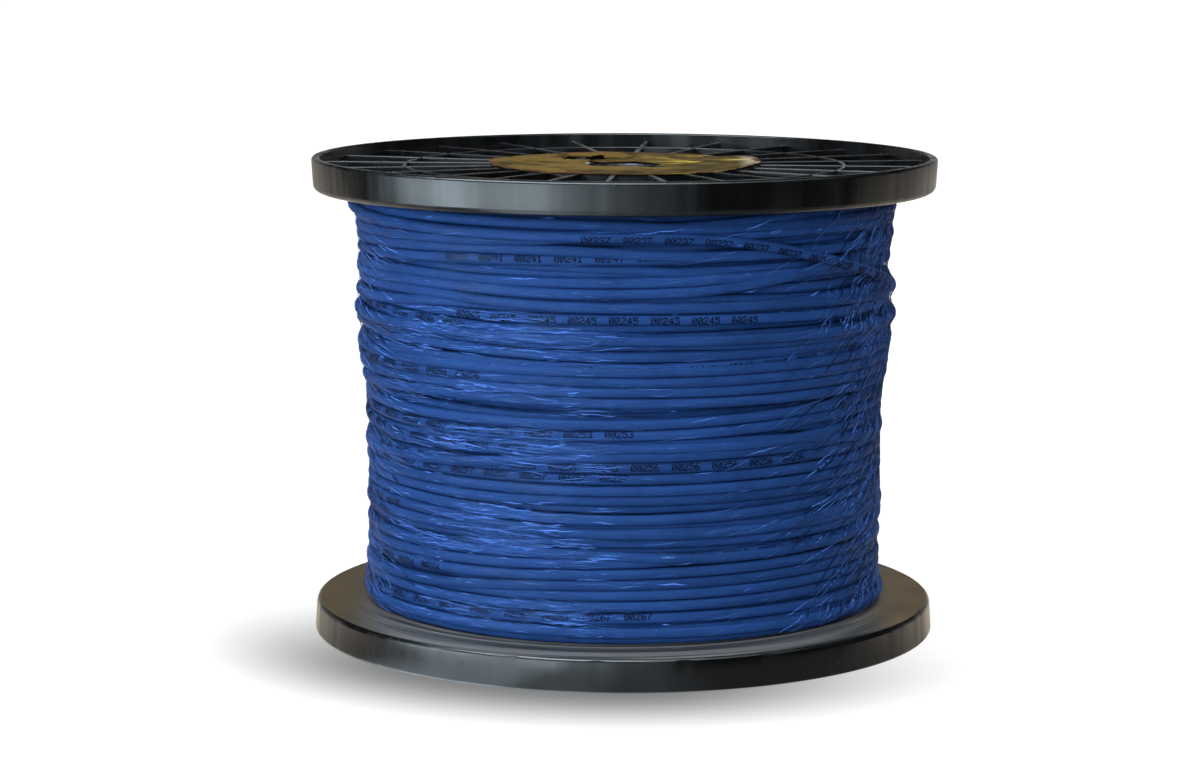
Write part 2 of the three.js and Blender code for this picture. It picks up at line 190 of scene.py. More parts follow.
class FilmSettings(PropertyGroup):
    """The stretch film round the turns."""

    clearance: length("Clearance", "Film to cable", 0.00012)
    bridging: length("Bridging", "Radius of the dips that the film spans", 0.005)
    creases: number("Creases", "Creases on a square metre where they are thickest", 120000.0)
    crease_length: length("Crease length", "Length of a middling crease", 0.010)
    crease_width: length("Crease width", "Width of a middling crease", 0.00028)
    folds: number("Folds", "Gathered folds on a square metre where they are thickest", 85000.0)
    fold_length: length("Fold length", "Length of a middling gathered fold", 0.019)
    fold_width: length("Fold width", "Width of a middling gathered fold", 0.00048)
    fold_lean: angle("Fold lean", "How steeply gathered folds rise to the right", 36.0)
    # Painted shade: the dark navy of the gathered folds.
    gathered: colour("Gathered film", "Colour of gathered folds", 0.006, 0.020, 0.075)
    # Painted glint: the colour of the creases.
    crease: colour("Crease", "Colour that creases catch", 0.11, 0.30, 1.0)


class LabelSettings(PropertyGroup):
    """The paper label in the upper hub ring."""

    radius: length("Radius", "Outer radius", 0.0665)
    hole_radius: length("Hole", "Radius of the centre hole", 0.020)
    thickness: length("Thickness", "Thickness of the paper", 0.0003)
    tear_distance: length("Tear distance", "Axis to the middle of the tear", 0.046)
    tear_length: length("Tear length", "Length of the tear", 0.026)
    tear_width: length("Tear width", "Width of the tear", 0.017)
    paper: colour("Paper", "Colour of the paper", 0.105, 0.068, 0.018)
    # Painted highlight colours: fold for the crests, tip for the lifted right tip.
    fold: colour("Fold", "Colour of the bright folds", 0.78, 0.58, 0.09)
    tip: colour("Tip", "Colour of the pale tip at the right", 0.62, 0.50, 0.34)
    edge: colour("Edge", "Colour of the stained edge", 0.10, 0.036, 0.018)
    sag: length("Sag", "How far it sags round the hole", 0.0011)
    crumple: length("Crumple", "Height of its folds", 0.0036)
    curl: length("Curl", "How far its right edge is lifted", 0.0014)


class StageSettings(PropertyGroup):
    """Camera, lamps and floor."""

    lens: number("Lens", "Focal length in millimetres", 101.7)
    distance: length("Distance", "Camera to axis", 1.6502)
    height: length("Height", "Camera above the floor", 0.3613)
    pitch: angle("Pitch", "How far the camera looks down", 8.342)
    yaw: angle("Yaw", "How far the camera looks to the left", 0.4056)
    roll: angle("Roll", "How far the camera leans", 0.11)
    key: number("Key light", "Brightness of the side panel on the reel", 1.9)
    shown_key: number("Shown key", "Brightness of the side panel in reflections", 8.0)
    high_card: number("High card", "Brightness of the upper card that only edges catch", 14.0)
    key_tint: colour("Key tint", "Colour of the side panel in reflections", 0.74, 0.90, 1.0)
    front: number("Front light", "Brightness of the broad front light", 3.8)
    back: number("Back light", "Brightness of the panel behind", 2.4)
    overhead: number("Overhead light", "Brightness of the panel overhead", 0.8)
    fill: number("Fill light", "Brightness of the surroundings", 0.34)
    dark_room: number("Dark room", "Brightness of the surroundings in reflections", 0.02)
    mirrored_white: number("Mirrored white", "Share of the white behind that reflections show", 0.34)
    mirrored_floor: number("Mirrored floor", "Share of the white floor behind that they show", 0.62)
    mirrored_tint: colour("Mirrored tint", "Colour of the floor behind in reflections", 1.0, 0.82, 0.60)
    # Painted lit patch on the floor, shown in reflections only.
    lit_floor: number("Lit floor", "Brightness of the floor at the left in reflections", 3.6)
    floor: colour("Floor", "Colour of the floor", 0.25, 0.25, 0.25)
    table: colour("Table", "Colour with which the floor lights the reel", 0.22, 0.22, 0.22)
    # Painted contact shade round the foot.
    contact_shade: number("Contact shade", "How much the floor darkens round the foot", 0.95)
    far_floor: number("Far floor", "Share of the floor's reflection that is left far off", 0.45)


# ---------------------------------------------------------------- node helpers


def arithmetic(operation, swapped=False):
    """A method of Wire that adds one maths node."""

    def method(wire, other):
        values = (other, wire) if swapped else (wire, other)
        return wire.graph.math(operation, *values)

    return method


class Wire:
    """What comes out of a node. Sums with it become nodes; in + and * it stands on the left."""

    def __init__(self, graph, socket):
        self.graph = graph
        self.socket = socket

    def __abs__(self):
        return self.graph.math("ABSOLUTE", self)

    __add__ = arithmetic("ADD")
    __sub__ = arithmetic("SUBTRACT")
    __rsub__ = arithmetic("SUBTRACT", swapped=True)
    __mul__ = arithmetic("MULTIPLY")
    __truediv__ = arithmetic("DIVIDE")
    __rtruediv__ = arithmetic("DIVIDE", swapped=True)
    __pow__ = arithmetic("POWER")


class Graph:
    """A node tree that is filled by short calls."""

    def __init__(self, tree):
        self.tree = tree

    def feed(self, socket, value):
        """Links a socket to a wire or to a node's first output, or sets its value."""
        if isinstance(value, bpy.types.Node):
            value = self.first(value)
        if isinstance(value, Wire):
            self.tree.links.new(value.socket, socket)
        else:
            socket.default_value = value

    def first(self, node):
        """The first output of a node that is in use."""
        return Wire(self, next(output for output in node.outputs if output.enabled))

    def add(self, kind, feeds=None, **settings):
        """Adds a node, sets its properties and feeds its inputs."""
        node = self.tree.nodes.new(kind)
        for name, value in settings.items():
            setattr(node, name, value)
        for key, value in (feeds or {}).items():
            self.feed(node.inputs[key], value)
        return node

    def wire(self, kind, feeds=None, output=None, **settings):
        """Adds a node and gives one of its outputs, the first unless another is named."""
        node = self.add(kind, feeds, **settings)
        return self.first(node) if output is None else Wire(self, node.outputs[output])

    def wires(self, kind, feeds=None):
        """Adds a node and gives its outputs by their names."""
        return {output.name: Wire(self, output) for output in self.add(kind, feeds).outputs}

    def math(self, operation, *values):
        """A sum on plain numbers."""
        return self.wire("ShaderNodeMath", dict(enumerate(values)), operation=operation)

    def vector(self, operation, *values):
        """A sum on vectors."""
        return self.wire("ShaderNodeVectorMath", dict(enumerate(values)), operation=operation)

    def scaled(self, vector, factor):
        """A vector made longer or shorter."""
        return self.wire("ShaderNodeVectorMath", {0: vector, 3: factor}, operation="SCALE")

    def split(self, vector):
        """The three parts of a vector."""
        return list(self.wires("ShaderNodeSeparateXYZ", {0: vector}).values())

    def join(self, x=0.0, y=0.0, z=0.0):
        """A vector of three parts."""
        return self.wire("ShaderNodeCombineXYZ", {0: x, 1: y, 2: z})

    def round_axis(self, point):
        """The angle of a point round the axis: 0 at the front, growing to the right."""
        x, y, _ = self.split(point)
        return self.math("ARCTAN2", x, y * -1.0)

    def noise(self, point, scale, detail=3.0, roughness=0.5, distortion=0.0):
        """Smooth noise from 0 to 1."""
        values = {"Scale": scale, "Detail": detail, "Roughness": roughness, "Distortion": distortion}
        return self.wire("ShaderNodeTexNoise", {"Vector": point, **values})

    def ramp(self, value, low, high, to_low=0.0, to_high=1.0, kind="SMOOTHSTEP"):
        """Carries low..high over to another range, and stops at its ends."""
        feeds = {0: value, 1: low, 2: high, 3: to_low, 4: to_high}
        return self.wire("ShaderNodeMapRange", feeds, interpolation_type=kind)

    def mix(self, share, first, second):
        """Blends two colours."""
        return self.wire("ShaderNodeMix", {0: share, 6: first, 7: second}, 2, data_type="RGBA")

    def bump(self, height, strength, distance):
        """The slope of small relief."""
        return self.wire(
            "ShaderNodeBump", {"Height": height, "Strength": strength, "Distance": distance}
        )


class Paint(Graph):
    """A material that is filled by short calls."""

    def __init__(self, name):
        self.material = bpy.data.materials.new(name)
        self.material.use_nodes = True
        super().__init__(self.material.node_tree)
        self.tree.nodes.clear()
        self.output = self.add("ShaderNodeOutputMaterial")
        self.point = self.wire("ShaderNodeTexCoord", output="Object")

    def kept(self, name):
        """A number that the mesh keeps at each point."""
        return self.wire("ShaderNodeAttribute", output="Fac", attribute_name=name)

    def pulled(self, x, y, z):
        """The place of a point in a space pulled along its axes."""
        return self.vector("MULTIPLY", self.point, (x, y, z))

    def finish(self, shader):
        """Shows a shader and gives the finished material."""
        self.feed(self.output.inputs["Surface"], shader)
        return self.material

    def solid(self, colour, roughness, relief=None, metallic=0.0, specular=0.5):
        """Finishes with an opaque surface; relief is a height, a strength and a distance."""
        feeds = {
            "Base Color": colour,
            "Roughness": roughness,
            "Metallic": metallic,
            "Specular IOR Level": specular,
        }
        if relief:
            feeds["Normal"] = self.bump(*relief)
        return self.finish(self.add("ShaderNodeBsdfPrincipled", feeds))


class Tree(Graph):
    """A geometry tree; its named inputs are listed by their socket type."""

    def __init__(self, name, inputs):
        super().__init__(bpy.data.node_groups.new(name, "GeometryNodeTree"))
        new_socket = self.tree.interface.new_socket
        for kind, labels in {"Geometry": ["Geometry"], **inputs, "Material": ["Material"]}.items():
            for label in labels:
                new_socket(label, in_out="INPUT", socket_type="NodeSocket" + kind)
        new_socket("Geometry", in_out="OUTPUT", socket_type="NodeSocketGeometry")
        self.given = self.wires("NodeGroupInput")
        self.result = self.add("NodeGroupOutput")
        self.position = self.wire("GeometryNodeInputPosition")

    def finish(self, geometry):
        """Paints the geometry, gives it out and gives the finished tree."""
        feeds = {"Geometry": geometry, "Material": self.given["Material"]}
        self.feed(self.result.inputs["Geometry"], self.add("GeometryNodeSetMaterial", feeds))
        return self.tree

    def moved(self, geometry, position, **more):
        """Geometry with its points set to other places."""
        return self.wire(
            "GeometryNodeSetPosition", {"Geometry": geometry, "Position": position, **more}
        )

    def marked(self, geometry, name, value):
        """Geometry that keeps a number at each point."""
        feeds = {"Geometry": geometry, "Name": name, "Value": value}
        return self.wire("GeometryNodeStoreNamedAttribute", feeds, data_type="FLOAT", domain="POINT")

    def swept(self, path, section):
        """A section carried along a path, with closed ends."""
        upright = self.wire("GeometryNodeSetCurveNormal", {"Curve": path}, mode="Z_UP")
        feeds = {"Curve": upright, "Profile Curve": section, "Fill Caps": True}
        return self.wire("GeometryNodeCurveToMesh", feeds)

    def copied(self, points, instance, rotation, **more):
        """Real copies of a shape at points."""
        feeds = {"Points": points, "Instance": instance, "Rotation": rotation, **more}
        copies = self.wire("GeometryNodeInstanceOnPoints", feeds)
        return self.wire("GeometryNodeRealizeInstances", {"Geometry": copies})

    def spokes(self):
        """As many points on the axis as the count says, and the angle that each one faces."""
        points = self.wire("GeometryNodePoints", {"Count": self.given["Count"]})
        step = 2 * math.pi / self.given["Count"]
        return points, self.wire("GeometryNodeInputIndex") * step + self.given["Start Angle"]

    def outward(self, point):
        """The level direction from the axis to a point."""
        return self.vector("NORMALIZE", self.vector("MULTIPLY", point, (1.0, 1.0, 0.0)))


WHITE = (1.0, 1.0, 1.0, 1.0)


def opaque(rgb, factor=1.0):
    """A colour with alpha 1, made lighter or darker."""
    return tuple(min(1.0, channel * factor) for channel in rgb) + (1.0,)


def grow(obj, tree, values):
    """Puts a geometry tree on an object with its named inputs set."""
    modifier = obj.modifiers.new(tree.name, "NODES")
    modifier.node_group = tree
    for item in tree.interface.items_tree:
        if item.in_out == "INPUT" and item.name in values:
            modifier[item.identifier] = values[item.name]


def bake(obj, crease=None):
    """Turns what an object's modifiers make into its plain mesh."""
    depsgraph = bpy.context.evaluated_depsgraph_get()
    made = bpy.data.meshes.new_from_object(
        obj.evaluated_get(depsgraph), preserve_all_data_layers=True, depsgraph=depsgraph
    )
    obj.modifiers.clear()
    obj.data = made
    obj.data.name = obj.name
    made.shade_smooth()
    if crease is not None:
        made.set_sharp_from_angle(angle=crease)
    return obj


def new_object(name, vertices, edges=(), faces=(), material=None):
    """A mesh object in the scene, made of plain lists."""
    mesh = bpy.data.meshes.new(name)
    mesh.from_pydata([tuple(v) for v in vertices], [tuple(e) for e in edges], [tuple(f) for f in faces])
    mesh.update()
    if material:
        mesh.materials.append(material)
    obj = bpy.data.objects.new(name, mesh)
    bpy.context.scene.collection.objects.link(obj)
    return obj


def keep_numbers(obj, name, amounts):
    """Keeps a number at each point of a mesh."""
    layer = obj.data.attributes.new(name, "FLOAT", "POINT")
    layer.data.foreach_set("value", amounts.astype(np.float32))


def joined(name, parts, material):
    """One object of one material out of several meshes."""
    vertices, faces = [], []
    for part in parts:
        start = len(vertices)
        vertices += [v.co.copy() for v in part.data.vertices]
        faces += [[start + i for i in face.vertices] for face in part.data.polygons]
    whole = new_object(name, vertices, faces=faces, material=material)
    for part in parts:
        bpy.data.objects.remove(part)
    return whole


def seat(obj, slot, *nodes):
    """Lets a finished piece ride on the reel and stand for CAD nodes, which it hides; slot is not used."""
    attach(obj, "root")
    if nodes:
        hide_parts(*nodes)


# ---------------------------------------------------------------- geometry trees


@lru_cache
def turned_tree():
    """Turns a closed profile, drawn in X and Z, about the Z axis."""
    tree = Tree("Turned body", {"Int": ["Sides"]})
    profile, sides = tree.given["Geometry"], tree.given["Sides"]
    rows = tree.wire("GeometryNodeAttributeDomainSize", {"Geometry": profile}, "Point Count")
    columns = sides + 1.0
    grid = tree.wire("GeometryNodeMeshGrid", {"Vertices X": rows, "Vertices Y": columns}, "Mesh")
    index = tree.wire("GeometryNodeInputIndex")
    row = tree.math("FLOOR", (index + 0.5) / columns)
    turn = (index - row * columns) / sides * (2 * math.pi)
    corner = tree.wire(
        "GeometryNodeSampleIndex",
        {"Geometry": profile, "Value": tree.position, "Index": row},
        data_type="FLOAT_VECTOR",
    )
    x, _, z = tree.split(corner)
    place = tree.join(x * tree.math("COSINE", turn), x * tree.math("SINE", turn), z)
    feeds = {"Geometry": tree.moved(grid, place), "Distance": 1e-6}
    return tree.finish(tree.wire("GeometryNodeMergeByDistance", feeds))


@lru_cache
def copies_tree():
    """Repeats what stands on the axis at even angles on a circle."""
    tree = Tree("Copies on a circle", {"Int": ["Count"], "Float": ["Circle Radius", "Start Angle"]})
    points, turn = tree.spokes()
    radius = tree.given["Circle Radius"]
    place = tree.join(radius * tree.math("COSINE", turn), radius * tree.math("SINE", turn))
    spread = tree.moved(points, place)
    return tree.finish(tree.copied(spread, tree.given["Geometry"], tree.join(z=turn)))


@lru_cache
def ribs_tree():
    """Adds a ring of straight radial ribs of tapered section with rounded tops."""
    measures = ["Start Angle", "Inner Radius", "Outer Radius", "Foot Height", "Top Height"]
    measures += ["Root Width", "Tip Width", "Edge Round"]
    tree = Tree("Radial ribs", {"Int": ["Count"], "Float": measures})
    given = tree.given
    sizes = {
        "Height": given["Top Height"] - given["Foot Height"],
        "Bottom Width": given["Root Width"],
        "Top Width": given["Tip Width"],
        "Offset": 0.0,
    }
    section = tree.wire("GeometryNodeCurvePrimitiveQuadrilateral", sizes, mode="TRAPEZOID")
    feeds = {"Curve": section, "Radius": given["Edge Round"], "Count": 3}
    rounded = tree.wire("GeometryNodeFilletCurve", feeds, mode="POLY")
    middle = (given["Top Height"] + given["Foot Height"]) * 0.5
    ends = {
        "Start": tree.join(given["Inner Radius"], z=middle),
        "End": tree.join(given["Outer Radius"], z=middle),
    }
    rib = tree.swept(tree.wire("GeometryNodeCurvePrimitiveLine", ends), rounded)
    points, turn = tree.spokes()
    both = tree.add("GeometryNodeJoinGeometry")
    for part in (given["Geometry"], tree.copied(points, rib, tree.join(z=turn))):
        tree.feed(both.inputs[0], part)
    return tree.finish(both)


@lru_cache
def tube_tree():
    """Draws a slightly squared tube along a path, and keeps how far along it each point is."""
    tree = Tree("Cable", {"Int": ["Sides"], "Float": ["Radius", "Squareness"]})
    given = tree.given
    radius = given["Radius"]
    path = tree.wire("GeometryNodeMeshToCurve", {"Mesh": given["Geometry"]})
    along = tree.wire("GeometryNodeSplineParameter", output="Length")
    feeds = {"Resolution": given["Sides"], "Radius": radius}
    circle = tree.wire("GeometryNodeCurvePrimitiveCircle", feeds, "Curve")
    squared = []
    for part in tree.split(tree.position)[:2]:
        share = part / radius
        squared.append(abs(share) ** given["Squareness"] * tree.math("SIGN", share) * radius)
    section = tree.moved(circle, tree.join(*squared))
    return tree.finish(tree.swept(tree.marked(path, "along", along), section))


@lru_cache
def creases_tree():
    """Strews creases over a skin: thin tapered ridges that lie on it, thickest where it is gathered."""
    tree = Tree("Creases", {"Int": ["Seed"], "Float": ["Density", "Length", "Width", "Spread"]})
    given = tree.given
    up = (0.0, 0.0, 1.0)

    def kept(name):
        return tree.wire("GeometryNodeInputNamedAttribute", {"Name": name}, 0, data_type="FLOAT")

    def chance(seed):
        return tree.wire("FunctionNodeRandomValue", {"Seed": seed}, data_type="FLOAT")

    def spread(share, shortest, longest):
        return tree.ramp(share, 0.0, 1.0, shortest, longest, kind="LINEAR")

    density = kept("gather") * given["Density"]
    feeds = {"Mesh": given["Geometry"], "Density": density, "Seed": given["Seed"]}
    spots = tree.wire(
        "GeometryNodeDistributePointsOnFaces", feeds, "Points", distribute_method="RANDOM"
    )
    away = tree.outward(tree.position)
    level = tree.vector("CROSS_PRODUCT", up, away)
    lean = kept("lean") + (chance(1) - chance(2)) * given["Spread"]
    level_part = tree.scaled(level, tree.math("COSINE", lean))
    forward = tree.vector("ADD", level_part, tree.scaled(up, tree.math("SINE", lean)))
    facing = tree.wire(
        "FunctionNodeAxesToRotation",
        {"Primary Axis": away, "Secondary Axis": forward},
        primary_axis="Z",
        secondary_axis="X",
    )
    long_so = given["Length"] * spread(chance(3) ** 2.2, 0.35, 2.6)
    wide_so = given["Width"] * spread(chance(4) ** 2.5, 0.45, 2.4)
    size = tree.join(long_so, wide_so, wide_so)
    feeds = {"Size X": 1.0, "Size Y": 1.0, "Vertices X": 9, "Vertices Y": 3}
    flat = tree.wire("GeometryNodeMeshGrid", feeds, "Mesh")
    x, y, _ = tree.split(tree.position)
    taper = 1.02 - (abs(x) * 2.0) ** 1.6
    height = (0.5 - abs(y)) * taper * 0.5
    shaped = tree.moved(flat, tree.join(x, y * taper, height))
    ridge = tree.marked(shaped, "crest", height * 4.0)
    shone = tree.marked(spots, "shine", chance(5))
    real = tree.copied(shone, ridge, facing, Scale=size)
    sway = (tree.noise(tree.position, 240.0, 1.0, 0.6) - 0.5) * given["Width"]
    feeds = {"Geometry": real, "Offset": tree.join(z=sway * 7.0)}
    swayed = tree.wire("GeometryNodeSetPosition", feeds)
    meets = tree.wires(
        "GeometryNodeRaycast",
        {
            "Target Geometry": given["Geometry"],
            "Source Position": tree.vector("MULTIPLY", tree.position, (1.2, 1.2, 1.0)),
            "Ray Direction": tree.vector("MULTIPLY", away, (-1.0, -1.0, 0.0)),
            "Ray Length": 0.1,
        },
    )
    lift = kept("crest") * (given["Width"] * 0.3) + 0.00004
    risen = tree.vector("ADD", meets["Hit Position"], tree.scaled(away, lift))
    laid = tree.moved(swayed, risen, Selection=meets["Is Hit"])
    missed = tree.math("GREATER_THAN", 1.0 - meets["Is Hit"], 0.5)
    feeds = {"Geometry": laid, "Selection": missed}
    return tree.finish(tree.wire("GeometryNodeDeleteGeometry", feeds, domain="POINT"))


# ---------------------------------------------------------------- shape helpers


def filleted(corners, steps=4):
    """A closed profile of (radius, height, round) corners, with arcs in place of its corners."""
    straight = math.radians(178)
    points = []
    count = len(corners)
    for i, (x, z, fillet) in enumerate(corners):
        corner = Vector((x, z))
        before = Vector(corners[i - 1][:2]) - corner
        after = Vector(corners[(i + 1) % count][:2]) - corner
        opening = before.angle(after)
        reach = fillet / math.tan(opening / 2)
        reach = min(reach, 0.49 * before.length, 0.49 * after.length)
        if fillet == 0 or opening > straight:
            points.append((corner.x, 0.0, corner.y))
            continue
        before.normalize()
        after.normalize()
        radius = reach * math.tan(opening / 2)
        centre = corner + (before + after).normalized() * (radius / math.sin(opening / 2))
        first = corner + before * reach - centre
        last = corner + after * reach - centre
        sweep = first.angle_signed(last)
        for step in range(steps + 1):
            turned = Matrix.Rotation(-sweep * step / steps, 2) @ first
            points.append((centre.x + turned.x, 0.0, centre.y + turned.y))
    area = sum(a[0] * b[2] - b[0] * a[2] for a, b in zip(points, points[1:] + points[:1]))
    if area < 0:
        points.reverse()
    return points + points[:1]


def turned(name, corners, sides, material, steps=4, copies=None):
    """A turned solid, or copies of it on a circle."""
    profile = filleted(corners, steps)
    obj = new_object(name, profile, edges=[(i, i + 1) for i in range(len(profile) - 1)])
    grow(obj, turned_tree(), {"Sides": sides, "Material": material})
    if copies:
        grow(obj, copies_tree(), {**copies, "Material": material})
    return obj


def lofted(name, rings, material, closed=False):
    """A skin over rings of points; closed joins the last ring to the first."""
    rings = [np.asarray(ring) for ring in rings]
    per_ring = len(rings[0])
    count = len(rings)
    faces = []
    for i in range(count if closed else count - 1):
        a = i * per_ring
        b = (i + 1) % count * per_ring
        for k in range(per_ring):
            n = (k + 1) % per_ring
            faces.append((a + k, a + n, b + n, b + k))
    return new_object(name, np.concatenate(rings), faces=faces, material=material)


def even_turns(count):
    """Even angles once round."""
    return np.arange(count) * 2 * np.pi / count


def unit_circle(count):
    """Even points on a circle of radius 1."""
    turn = even_turns(count)
    return np.stack([np.cos(turn), np.sin(turn)], 1)


def ring(radius, height, sides):
    """One round ring of points about the axis."""
    turn = even_turns(sides)
    radius = np.broadcast_to(radius, sides)
    height = np.broadcast_to(height, sides)
    return np.stack([radius * np.cos(turn), radius * np.sin(turn), height], axis=1)


# ---------------------------------------------------------------- materials


@lru_cache
def black_plastic():
    """Black moulded plastic: flow marks, sink marks at the ribs, scuff streaks on the inner faces with a
    painted grey sheen in them, a painted warm reflection at the two sides of these faces, painted
    highlights on the rib tops, and dust.
    """
    settings = bpy.context.scene.reel_flange
    paint = Paint("black_moulded_plastic")
    ramp, mix = paint.ramp, paint.mix
    x, y, z = paint.split(paint.point)
    radius = paint.math("SQRT", x**2.0 + y**2.0)
    swirl = paint.vector("ADD", paint.join(radius, z=z), paint.pulled(0.03, 0.03, 0.0))
    upright = paint.pulled(1.0, 1.0, 0.06)
    flow = paint.noise(upright, 260.0, 3.0, 0.6)
    slow_flow = paint.noise(upright, 52.0, 2.0, 0.55)
    turning = paint.noise(swirl, 330.0, 3.0, 0.6)
    haze = paint.noise(paint.point, 26.0, 3.0, 0.55)

    cells = paint.wires("ShaderNodeTexVoronoi", {"Vector": paint.point, "Scale": 330.0})
    lone = paint.wire("ShaderNodeSeparateColor", {0: cells["Color"]})
    speck = ramp(cells["Distance"], 0.05, 0.11, 1.0, 0.0) * paint.math("GREATER_THAN", lone, 0.975)

    turn = paint.math("ARCTAN2", y, x) - settings.rib_start
    place = paint.math("FRACT", turn * (settings.rib_count / 2 / math.pi) + 0.5)
    on_rim = ramp(radius, 0.1505, 0.1512)
    sink = ramp(abs(place - 0.5), 0.0, 0.14, -1.0, 0.0) * on_rim

    # The inner faces carry a painted sheen: light grey in scuff streaks at the front and back, and at the
    # two sides a painted warm brown reflection, darker at the left.
    inner_face = ramp(abs(z - LOWER_FACE), 0.0003, 0.0006, 1.0, 0.0) * ramp(radius, 0.065, 0.066)
    aside = ramp(abs(x), 0.105, 0.140)
    streaky = ramp(turning, 0.40, 0.62, 0.08, 1.0)
    even = (ramp(haze, 0.3, 0.7, 0.55, 0.95) - streaky) * aside
    sheen_and_scuffs = inner_face * (streaky + even)
    tint = mix(ramp(haze, 0.35, 0.75), opaque(settings.colour, 0.8), opaque(settings.colour, 1.5))
    side_reflection = mix(ramp(x, -0.10, 0.10), opaque(settings.side_reflection, 0.45), opaque(settings.side_reflection))
    sheened = mix(sheen_and_scuffs, tint, mix(aside, opaque(settings.inner_sheen), side_reflection))

    middle = (UPPER_FACE + LOWER_FACE) / 2
    above_face = abs(z - middle) - (UPPER_FACE - middle)
    # Painted highlight: faces at the height of the rib tops, inside the rim, are painted lighter.
    lit_rib_tops = ramp(abs(above_face - settings.rib_top), 0.0002, 0.0004, 1.0, 0.0)
    worn = lit_rib_tops * ramp(radius, 0.148, 0.147)
    sheened = mix(worn, sheened, opaque(settings.worn))
    dusty = mix(speck * 0.45, sheened, opaque(settings.dust))
    gloss = ramp(slow_flow, 0.36, 0.64, 0.17, 0.33) + ramp(flow, 0.60, 0.72) * 0.08
    roughness = paint.math("MAXIMUM", gloss, inner_face * 0.45)
    height = flow * 0.7 + slow_flow * 9.0 + sink * 3.0 + speck * 1.5 + turning * inner_face * 2.0
    return paint.solid(dusty, roughness, (height, 0.7, 0.00007))


@lru_cache
def blue_jacket():
    """The cable's blue jacket: satin plastic with slow changes of shade along it."""
    settings = bpy.context.scene.reel_cable
    paint = Paint("blue_cable_jacket")
    slow = paint.noise(paint.join(paint.kept("along")), 3.0, 3.0, 0.6)
    cloud = paint.noise(paint.point, 60.0, 3.0, 0.6)
    grain = paint.noise(paint.point, 2600.0, 2.0, 0.6)
    # Darker in thin streaks that run along the turns.
    drawn = paint.noise(paint.pulled(0.05, 0.05, 1.0), 900.0, 3.0, 0.7, 0.3)
    shade = paint.ramp(slow * 0.65 + cloud * 0.35, 0.36, 0.64)
    tint = paint.mix(shade, opaque(settings.jacket, 0.84), opaque(settings.jacket, 1.22))
    streak = paint.ramp(drawn, 0.38, 0.62)
    tint = paint.mix(streak * 0.30, tint, opaque(settings.jacket, 0.40))
    relief = (grain + cloud * 3.0 + drawn * 8.0, 0.5, 0.00005)
    return paint.solid(tint, paint.ramp(cloud, 0.3, 0.7, 0.45, 0.58), relief, specular=0.08)


@lru_cache
def mark_ink():
    """Dark printing ink, a little worn."""
    settings = bpy.context.scene.reel_cable
    paint = Paint("mark_ink")
    worn = paint.ramp(paint.noise(paint.point, 900.0, 2.0, 0.6), 0.55, 0.85)
    tint = paint.mix(worn, opaque(settings.ink), opaque(settings.ink, 2.2))
    return paint.solid(tint, 0.6, specular=0.05)


@lru_cache
def zinc_steel():
    """Zinc plated steel with a fine spangle."""
    settings = bpy.context.scene.reel_hardware
    paint = Paint("zinc_plated_steel")
    spangle = paint.noise(paint.point, 420.0, 3.0, 0.6)
    dull = paint.noise(paint.point, 90.0, 3.0, 0.6)
    tint = paint.mix(spangle, opaque(settings.steel, 0.8), opaque(settings.steel, 1.25))
    roughness = paint.ramp(dull, 0.3, 0.75, 0.28, 0.5)
    return paint.solid(tint, roughness, (spangle, 0.3, 0.00003), metallic=1.0)


@lru_cache
def bush_steel():
    """Drawn steel, with fine lines that run along the bore."""
    settings = bpy.context.scene.reel_hardware
    paint = Paint("drawn_steel")
    lines = paint.noise(paint.pulled(1.0, 1.0, 0.03), 1500.0, 3.0, 0.65)
    stain = paint.noise(paint.point, 120.0, 4.0, 0.65)
    stained = paint.ramp(stain, 0.40, 0.62)
    tint = paint.mix(stained, opaque(settings.bush, 0.12), opaque(settings.bush, 1.8))
    roughness = paint.ramp(stain, 0.3, 0.75, 0.48, 0.65)
    return paint.solid(tint, roughness, (lines + stain * 6.0, 0.6, 0.00008), metallic=1.0)


@lru_cache
def fibre_board():
    """Spirally wound fibre board, with its seams."""
    settings = bpy.context.scene.reel_hardware
    paint = Paint("fibre_board")
    x, y, z = paint.split(paint.point)
    seam_pitch = 0.09
    turn = paint.math("ARCTAN2", y, x) / (2 * math.pi)
    wrap = paint.math("FRACT", z / seam_pitch - turn)
    seam = paint.ramp(abs(wrap - 0.5), 0.485, 0.498)
    fibres = paint.noise(paint.pulled(1.0, 1.0, 2.5), 700.0, 4.0, 0.7)
    tint = paint.mix(fibres, opaque(settings.board, 0.7), opaque(settings.board, 1.3))
    dark = paint.mix(seam, tint, opaque(settings.board, 0.35))
    return paint.solid(dark, 0.85, (fibres - seam * 2.0, 0.6, 0.0001))


